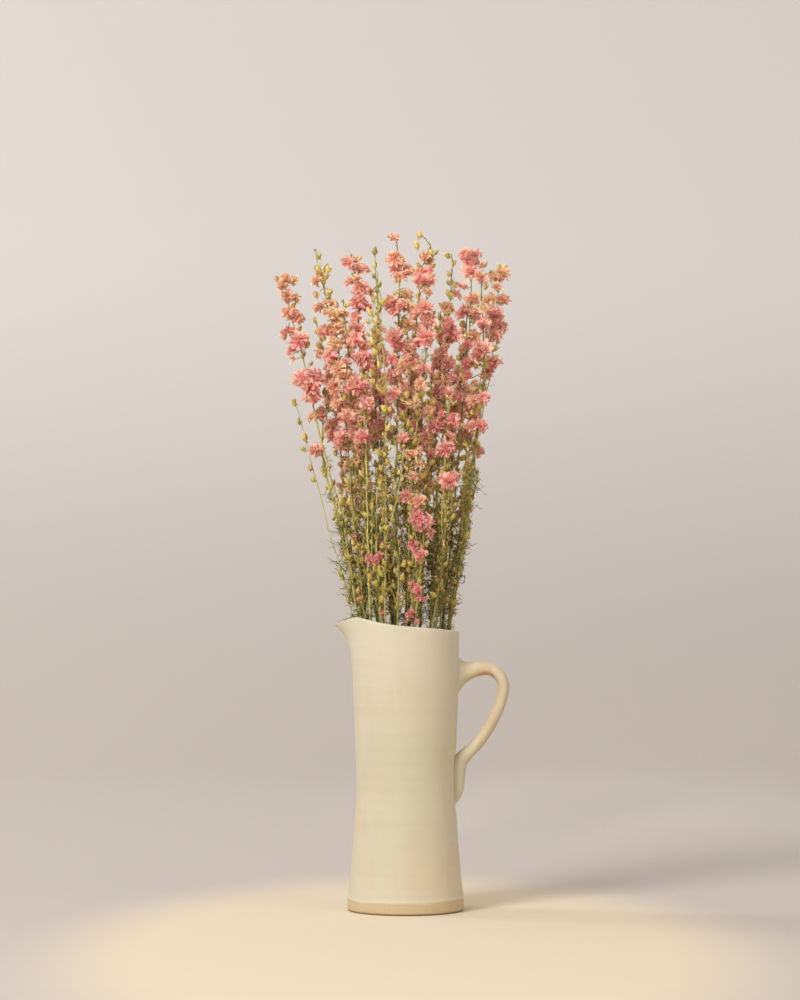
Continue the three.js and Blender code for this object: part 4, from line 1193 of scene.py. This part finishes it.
class Stem:
    """One cut stem: its course and the forms of its stalk, florets, buds and leaves."""

    def __init__(self, name, seed, above):
        self.name = name
        self.random = np.random.default_rng(seed)
        mouth = above[0]
        foot = np.append(FOOT_GATHER * mouth[:2], FLOOR_THICKNESS + TOUCHING_GAP)
        self.course = smooth_course([foot, foot + UP * UPRIGHT_FOOT, *above], 76)
        self.top = self.course[-1, 2]
        self.girth = STALK_RADIUS * self.random.uniform(0.56, 0.95)
        self.stalk, self.florets, self.buds, self.leaves = Form(), Form(), Form(), Form()

    def on_stalk(self, z):
        return np.array([np.interp(z, self.course[:, 2], self.course[:, k]) for k in range(3)])

    def one_of(self, kinds):
        return kinds[self.random.integers(len(kinds))]

    def tone_near(self, tone, spread):
        return float(np.clip(tone + self.random.normal(0.0, spread), 0.0, 1.0))

    def away_at(self, centre):
        """The level direction from the stalk to a centre."""
        away = centre - self.on_stalk(centre[2])
        away[2] = 0.0
        return unit(away + 1e-3)

    def inwards_at(self, z):
        """The angle, seen from above, from the stalk towards the middle of the bunch."""
        place = self.on_stalk(z)
        return math.atan2(-place[1], -place[0])

    def radius_at(self, z):
        """A stalk tapers from the cut end to its tip."""
        return self.girth * np.interp(z, [0.0, MOUTH_HEIGHT, 450.0, self.top], [1.25, 1.12, 0.88, 0.42])

    def grow_stalk(self, darkest, palest):
        course = self.course.copy()
        height = course[:, 2]
        sway = smoothstep(height, MOUTH_HEIGHT, MOUTH_HEIGHT + 60.0) * 0.35
        for k in range(2):
            phase = self.random.uniform(0.0, ANY_PHASE)
            course[:, k] += sway * np.sin(height / self.random.uniform(5.0, 9.0) + phase)
        knots = 1.0 + 0.12 * np.maximum(0.0, np.sin(height / 6.0 + self.random.uniform(0.0, ANY_PHASE))) ** 6
        tone = self.random.uniform(darkest, palest) - 0.12 * smoothstep(height, 420.0, 640.0)
        tones = np.concatenate([np.repeat(tone, 7), tone[:1], tone[-1:]])
        self.stalk.tube(course, self.radius_at(height) * knots, 7, tones, self.random.uniform())

    def side_stalk(self, root, end, arrival, radius, rings, sides):
        """A side stalk leaves upwards and arrives along the way its flower or bud faces."""
        span = np.linalg.norm(end - root)
        away = unit(end - root + 1e-3)
        leave = root + 0.4 * span * unit(0.7 * away + 0.7 * UP)
        course = bezier(root, leave, end - 0.35 * span * arrival, end, rings)
        share = np.linspace(-1.0, 1.0, rings)
        tone = self.random.uniform(0.3, 0.75)
        self.stalk.tube(course, radius * (0.92 + 0.5 * share**4), sides, tone, self.random.uniform())

    def bract(self, root, away):
        """A short thread-like leaf under a floret."""
        heading = unit(0.8 * away + 0.8 * UP + self.random.normal(0.0, 0.25, 3))
        length = self.random.uniform(4.0, 9.0)
        course, _ = wander(self.random, root, heading, length, 4, 0.15, 0.05)
        form = Form()
        form.strip(course, BRACT_HALF_WIDTH * np.array([0.9, 1.0, 0.9, 0.7, 0.3]), self.random)
        points, faces, finish = form.arrays()
        self.leaves.add(points, faces, finish + np.array([self.random.uniform(0.3, 0.8), 0.0, 0.0, 0.0]))

    def leaf(self, z, length):
        """A finely cut leaf that hugs the stalk."""
        away = outwards(self.inwards_at(z) + self.random.uniform(-2.2, 2.2))
        spread = self.random.uniform(0.05, 0.4) * (0.5 if z < MOUTH_HEIGHT + 30.0 else 1.0)
        heading = unit(away * spread + UP * self.random.uniform(0.6, 1.2))
        pattern = self.one_of(LEAF_PATTERNS)
        root = self.on_stalk(z) + 0.6 * self.girth * away
        tone = self.random.uniform(0.15, 0.85)
        put_pattern(self.leaves, pattern, root, heading, length, tone, self.random, spin=3.0, crumple=0.12)

    def add_floret(self, root, centre, reach, tone):
        away = self.away_at(centre)
        facing = unit(0.75 * away + 0.6 * UP + self.random.normal(0.0, 0.16, 3))
        if reach < HALF_OPEN_BELOW:
            kinds = HALF_OPEN
        elif tone > 0.7:
            kinds = SPIKY
        elif tone > 0.5:
            kinds = SPIKY if self.random.uniform() < 0.5 else DOUBLE
        else:
            kinds = DOUBLE
        size = reach * PETAL_SPREAD
        put_pattern(self.florets, self.one_of(kinds), centre, facing, size, tone, self.random, crumple=0.085)
        self.side_stalk(root, centre - 0.42 * size * facing, facing, 0.55, 6, 4)
        self.bract(root, away)

    def add_bud(self, root, centre, radius, tone):
        facing = unit(0.5 * self.away_at(centre) + 0.9 * UP + self.random.normal(0.0, 0.14, 3))
        if radius >= OPENING_BUD:
            kinds = OPENING_BUDS
        elif radius >= SMALL_BUD:
            kinds = CALYXES if self.random.uniform() < 0.6 else CLOSED_BUDS
        else:
            kinds = SMALL_CALYXES if self.random.uniform() < 0.65 else SMALL_BUDS
        put_pattern(self.buds, self.one_of(kinds), centre, facing, radius, tone, self.random, spin=3.0)
        rings, sides = (5, 4) if radius >= SMALL_BUD else (4, 3)
        self.side_stalk(root, centre - 0.95 * radius * facing, facing, 0.42, rings, sides)

    def twig(self, z, radius, tone, length):
        """A small bud on its own thin side stalk."""
        away = outwards(self.random.uniform(0.0, 2 * math.pi))
        centre = self.on_stalk(z) + away * length * 0.6 + UP * length * 0.8
        self.add_bud(self.on_stalk(z), centre, radius, tone)

    def shoot(self, z, length, turn):
        """A thin branch that rises beside the stalk and carries small buds by turns, closer to its tip."""
        random = self.random
        share = np.linspace(0.0, 1.0, 10)
        bow = random.uniform(2.0, 7.0) * np.sin(math.pi * share) + random.uniform(3.0, 24.0) * share**1.5
        course = np.array([self.on_stalk(z + t * length) + outwards(turn) * d for t, d in zip(share, bow)])
        course[:, 2] = z + share * length
        self.stalk.tube(course, np.linspace(0.6, 0.32, 10), 4, random.uniform(0.4, 0.9), random.uniform())
        level = 0.3 * length
        angle = random.uniform(0.0, 2 * math.pi)
        while level < length:
            root = np.array([np.interp(level, share * length, course[:, k]) for k in range(3)])
            radius = random.uniform(2.2, 3.6) * (1.0 - 0.3 * level / length)
            centre = root + outwards(angle) * random.uniform(2.0, 4.0) + UP * random.uniform(2.0, 5.0)
            self.add_bud(root, centre, radius, random.choice([OLIVE, GREEN, YELLOW, YELLOW]))
            level += random.uniform(5.0, 10.0)
            angle += FLORET_TURN
        self.add_bud(course[-1], course[-1] + 2.5 * UP, 1.8, YELLOW)

    def add_buds_between(self, lowest_floret):
        """Small buds between the florets, more of them lower down."""
        z = lowest_floret
        while z < self.top - 22.0:
            tone = self.random.choice([OLIVE, GREEN, GREEN, YELLOW, YELLOW])
            self.twig(z, self.random.uniform(2.2, 3.8), tone, self.random.uniform(6.0, 11.0))
            z += self.random.uniform(6.0, 9.0) + 0.06 * (z - lowest_floret)

    def add_leaves(self, bare_from, growth_top):
        """The leaves, most and longest of them low down."""
        mouth = self.on_stalk(MOUTH_HEIGHT)
        z = JUG_HEIGHT - RIM_SLOPE * mouth[0] / RIM_RADIUS + self.random.uniform(-2.0, 1.0)
        # Behind the front stems they start further down inside the mouth
        z -= 12.0 * (mouth[1] > -20.0)
        while z < min(growth_top + 60.0, self.top - 12.0, bare_from):
            share = smoothstep(z, 500.0, 330.0)
            if self.random.uniform() < 0.5 + 0.5 * share:
                for _ in range(self.random.integers(1, 6)):
                    level = z + self.random.uniform(-2.0, 2.0)
                    length = self.random.uniform(7.0, 17.0) * (0.6 + 0.4 * share)
                    self.leaf(level, length * (0.9 if level < MOUTH_HEIGHT + 35.0 else 1.05))
            z += self.random.uniform(4.0, 17.0)

    def add_small_growth(self, lowest_floret, bare_from):
        """The lower leaves, the small buds between them, and thin shoots."""
        top = min(lowest_floret - 4.0, self.top - 4.0, bare_from)
        self.add_leaves(bare_from, top)
        z = MOUTH_HEIGHT + self.random.uniform(4.0, 20.0)
        while z < top:
            tone = self.random.choice([OLIVE, GREEN, GREEN, YELLOW, YELLOW, YELLOW, AMBER])
            for _ in range(self.random.integers(1, 5)):
                level = z + self.random.normal(0.0, 2.5)
                self.twig(level, self.random.uniform(2.0, 3.9), tone, self.random.uniform(3.0, 9.0))
            z += self.random.uniform(8.0, 26.0)
        for _ in range(self.random.integers(2, 5)):
            start = self.random.uniform(MOUTH_HEIGHT - 6.0, MOUTH_HEIGHT + 95.0)
            length = min(self.random.uniform(40.0, 105.0), self.top - 10.0 - start, bare_from - start)
            if length > 25.0:
                self.shoot(start, length, self.inwards_at(start) + self.random.uniform(-1.8, 1.8))

    def add_late_buds(self, lowest_floret):
        """Opening buds below the lowest floret."""
        z = lowest_floret - 4.0
        while z > LATE_BUDS_DOWN_TO:
            aside = outwards(self.random.uniform(0.0, 2 * math.pi)) * self.random.uniform(4.0, 7.0)
            tone = self.random.choice([GREEN, YELLOW, YELLOW, AMBER, BLUSH])
            radius = self.random.uniform(3.9, 5.6)
            self.add_bud(self.on_stalk(z - 5.0), self.on_stalk(z) + aside, radius, tone)
            z -= self.random.uniform(5.0, 9.0)

    def add_late_heads(self):
        """A few small heads low down in the shade of the bunch."""
        for _ in range(self.random.integers(1, 4)):
            z = self.random.uniform(315.0, 430.0)
            centre = self.on_stalk(z) + outwards(self.random.uniform(0.0, 2 * math.pi)) * 5.0
            # Half of them get the darker pink that paints in their shade
            tone = self.random.choice([SHADED_PINK, SHADED_PINK, PINK, SALMON])
            self.add_floret(self.on_stalk(z - 4.0), centre, self.random.uniform(4.6, 6.4), tone)

    def add_tip(self):
        """The tiny closed buds at the tip."""
        for z in np.arange(self.top - 22.0, self.top - 1.0, 5.0):
            tone = self.random.choice([OLIVE, GREEN, YELLOW])
            self.twig(z - 2.0, 1.2 + 0.05 * (self.top - z), tone, self.random.uniform(2.0, 4.0))

    def finish(self, materials):
        for part, form, slot, node in [
            ("stalk", self.stalk, "stalk_green", self.name),
            ("florets", self.florets, "petal_pink", self.name),
            ("buds", self.buds, "bud_green", self.name),
            ("leaves", self.leaves, "leaf_olive", None),
        ]:
            if form.count:
                mesh_piece(f"{self.name}_{part}", form, materials[slot], node)


def beside(stem, x, z, reach):
    """The root and centre of a floret or bud that is seen from the front, before its stalk."""
    root = stem.on_stalk(z - FLORET_RISE * reach)
    sideways = seen_at(x, z, root[1])[0] - root[0]
    forward = math.sqrt(max(0.0, (reach + STALK_RADIUS) ** 2 - sideways**2))
    return root, seen_at(x, z, root[1] - forward)


def build_seen_stem(number, plan, materials):
    above = [seen_at(x, z, plan["mouth"] * fan_at(z)) for x, z in plan["stalk"]]
    stem = Stem(plan["name"], 100 + number, above)
    if not plan["florets"]:
        stem.girth *= BUD_STEM_GIRTH
    # The front stalks get paler tones than those of the middle and back, which carry painted shade
    stem.grow_stalk(0.22, 0.74)
    for x, z, reach, tone in plan["florets"]:
        root, centre = beside(stem, x, z, reach)
        stem.add_floret(root, centre, reach, tone)
        if reach >= 6.5:
            # Its fellow on the far side of the stalk
            behind = stem.on_stalk(centre[2] - 3.0)
            back = behind + np.array([0.5 * (centre[0] - behind[0]), 0.8 * reach, 3.0])
            back[:2] += stem.random.normal(0.0, 1.5, 2)
            far_tone = stem.tone_near(tone, 0.12)
            far_reach = reach * stem.random.uniform(0.65, 0.85)
            stem.add_floret(stem.on_stalk(back[2] - 5.0), back, far_reach, far_tone)
    for x, z, radius, tone in plan["buds"]:
        root, centre = beside(stem, x, z, radius)
        stem.add_bud(root, centre, radius, tone)
    lowest = min((z for _, z, reach, _ in plan["florets"] if reach > 6.0), default=stem.top - 30.0)
    if plan["florets"]:
        stem.add_buds_between(lowest)
    stem.add_small_growth(lowest, plan.get("bare_from", stem.top))
    stem.finish(materials)


def build_hidden_stem(number, mouth, top, count, materials):
    x, y = mouth
    heights = MOUTH_HEIGHT + (top - MOUTH_HEIGHT) * np.array([0.0, 0.2, 0.42, 0.7, 1.0])
    bends = np.random.default_rng(300 + number).normal(0.0, 3.2, (len(heights), 2))
    bends[0] = 0.0
    above = [np.array([x * fan_at(z) + a, y * fan_at(z) + b, z]) for z, (a, b) in zip(heights, bends)]
    stem = Stem(f"flower_stem_{number:02d}", 200 + number, above)
    # The stalks of the middle and back get darker tones than those at the front: painted shade for the inside
    # of the bunch
    stem.grow_stalk(0.0, 0.5)
    for k in range(count):
        reach = min(FULL_FLORET, TIP_FLORET + FLORET_GROWTH * k)
        z = top - TIP_FLORET - FLORET_PITCH * k
        for opposite in (False, True):
            turn = number + FLORET_TURN * k + math.pi * opposite + stem.random.normal(0.0, 0.3) * opposite
            level = z - 0.5 * FLORET_PITCH * opposite
            centre = stem.on_stalk(level) + outwards(turn) * FLORET_ASIDE * reach
            root = stem.on_stalk(level - FLORET_RISE * reach)
            tone = stem.tone_near(HEAD_TONES[k], 0.14)
            if reach < 5.5:
                stem.add_bud(root, centre, reach, YELLOW)
            else:
                stem.add_floret(root, centre, reach * stem.random.uniform(0.75, 0.98), tone)
    stem.add_late_heads()
    lowest = top - FLORET_PITCH * count
    stem.add_late_buds(lowest)
    stem.add_buds_between(lowest)
    stem.add_small_growth(lowest, top)
    stem.add_tip()
    stem.finish(materials)


# Camera, light and stage


LENS = 87.7  # millimetres
LOOK_UP = 3.402  # degrees above level
FLOOR_REACH = 2.7  # metres to where the floor begins to rise
WALL_BEND = 3.3


def make_camera():
    data = bpy.data.cameras.new("camera")
    data.lens = LENS
    data.sensor_width = 36.0
    camera = add_object("camera", data)
    camera.location = EYE * MM
    camera.rotation_euler = (math.radians(90 + LOOK_UP), 0.0, 0.0)
    bpy.context.scene.camera = camera


def make_area_light(name, place, aim, size, power, colour, spread=math.pi):
    data = bpy.data.lights.new(name, "AREA")
    data.shape = "DISK"
    data.size = size
    data.energy = power
    data.color = colour
    data.spread = spread
    light = add_object(name, data)
    light.location = place
    light.rotation_euler = (Vector(aim) - Vector(place)).to_track_quat("-Z", "Y").to_euler()


def stage_material():
    """Warm floor about the part, and a pale wall beyond whose colour is darker low down and paler higher up:
    painted shading.
    """
    n = Nodes("stage")
    x, y, z = n.parts(n.node("ShaderNodeNewGeometry").outputs["Position"])
    aside = n.maths("POWER", n.maths("DIVIDE", x, 0.29), 2.0)
    behind = n.maths("POWER", n.maths("DIVIDE", n.plus(y, 0.28), 0.58), 2.0)
    far = n.maths("SQRT", n.plus(aside, behind), 0.0)
    # Painted shading: the wall darkens towards the floor
    wall = n.mix(n.spread(z, 0.0, 1.6), "C0B7B0", "DAD5D1")
    n.surface(n.mix(n.spread(far, 0.75, 1.25), "DACBB3", wall), 0.9, specular=0.1)
    return n.material


def make_stage():
    """A round floor that rises gently into a pale wall all round."""
    sides = 160
    profile = [(reach, 0.0) for reach in (0.5, 1.2, 2.0, FLOOR_REACH)]
    profile += [
        (FLOOR_REACH + WALL_BEND * math.sin(a), WALL_BEND * (1 - math.cos(a)))
        for a in np.linspace(0.08, 1.45, 22)
    ]
    rings = np.array(profile + [(6.1, 4.6)])
    angles = 2 * math.pi * np.arange(sides) / sides
    skin = np.stack([
        rings[:, :1] * np.cos(angles), rings[:, :1] * np.sin(angles), rings[:, 1:] + 0.0 * angles,
    ], axis=-1).reshape(-1, 3)
    faces = grid_faces(len(rings), sides, closed=True).tolist() + [list(range(sides))]
    mesh = bpy.data.meshes.new("stage")
    mesh.from_pydata(skin.tolist(), [], faces)
    mesh.shade_smooth()
    mesh.materials.append(stage_material())
    add_object("stage", mesh)


def make_light():
    make_area_light("key", (-1.7, -2.3, 2.3), (0.0, 0.0, 0.3), 1.2, 90.0, (0.975, 0.985, 1.0))
    make_area_light("beam", (-0.6, -3.1, 1.6), (0.0, 0.0, 0.6), 0.35, 0.34, (0.985, 0.985, 1.0), spread=0.2)
    make_area_light("fill", (2.2, -1.8, 1.4), (0.0, 0.0, 0.35), 2.0, 14.0, (1.0, 0.91, 0.78))
    make_area_light("wall", (-2.4, 0.9, 3.8), (-0.8, 5.5, 2.2), 2.0, 114.0, (0.972, 0.985, 1.0))
    world = bpy.data.worlds.new("room")
    world.use_nodes = True
    background = world.node_tree.nodes["Background"]
    background.inputs["Color"].default_value = (1.0, 0.969, 0.932, 1.0)
    background.inputs["Strength"].default_value = 0.68
    bpy.context.scene.world = world
    bpy.context.scene.view_settings.view_transform = "Standard"


make_camera()
make_light()
make_stage()
MATERIALS = {
    "petal_pink": petal_material(),
    "bud_green": bud_material(),
    "stalk_green": stalk_material(),
    "leaf_olive": leaf_material(),
}
build_jug(clay_material())
for number, plan in enumerate(SEEN_STEMS):
    build_seen_stem(number, plan, MATERIALS)
FIRST_HIDDEN = 1 + sum(1 for plan in SEEN_STEMS if plan["florets"])
for number, (mouth, top, count) in enumerate(HIDDEN_STEMS, FIRST_HIDDEN):
    build_hidden_stem(number, mouth, top, count, MATERIALS)
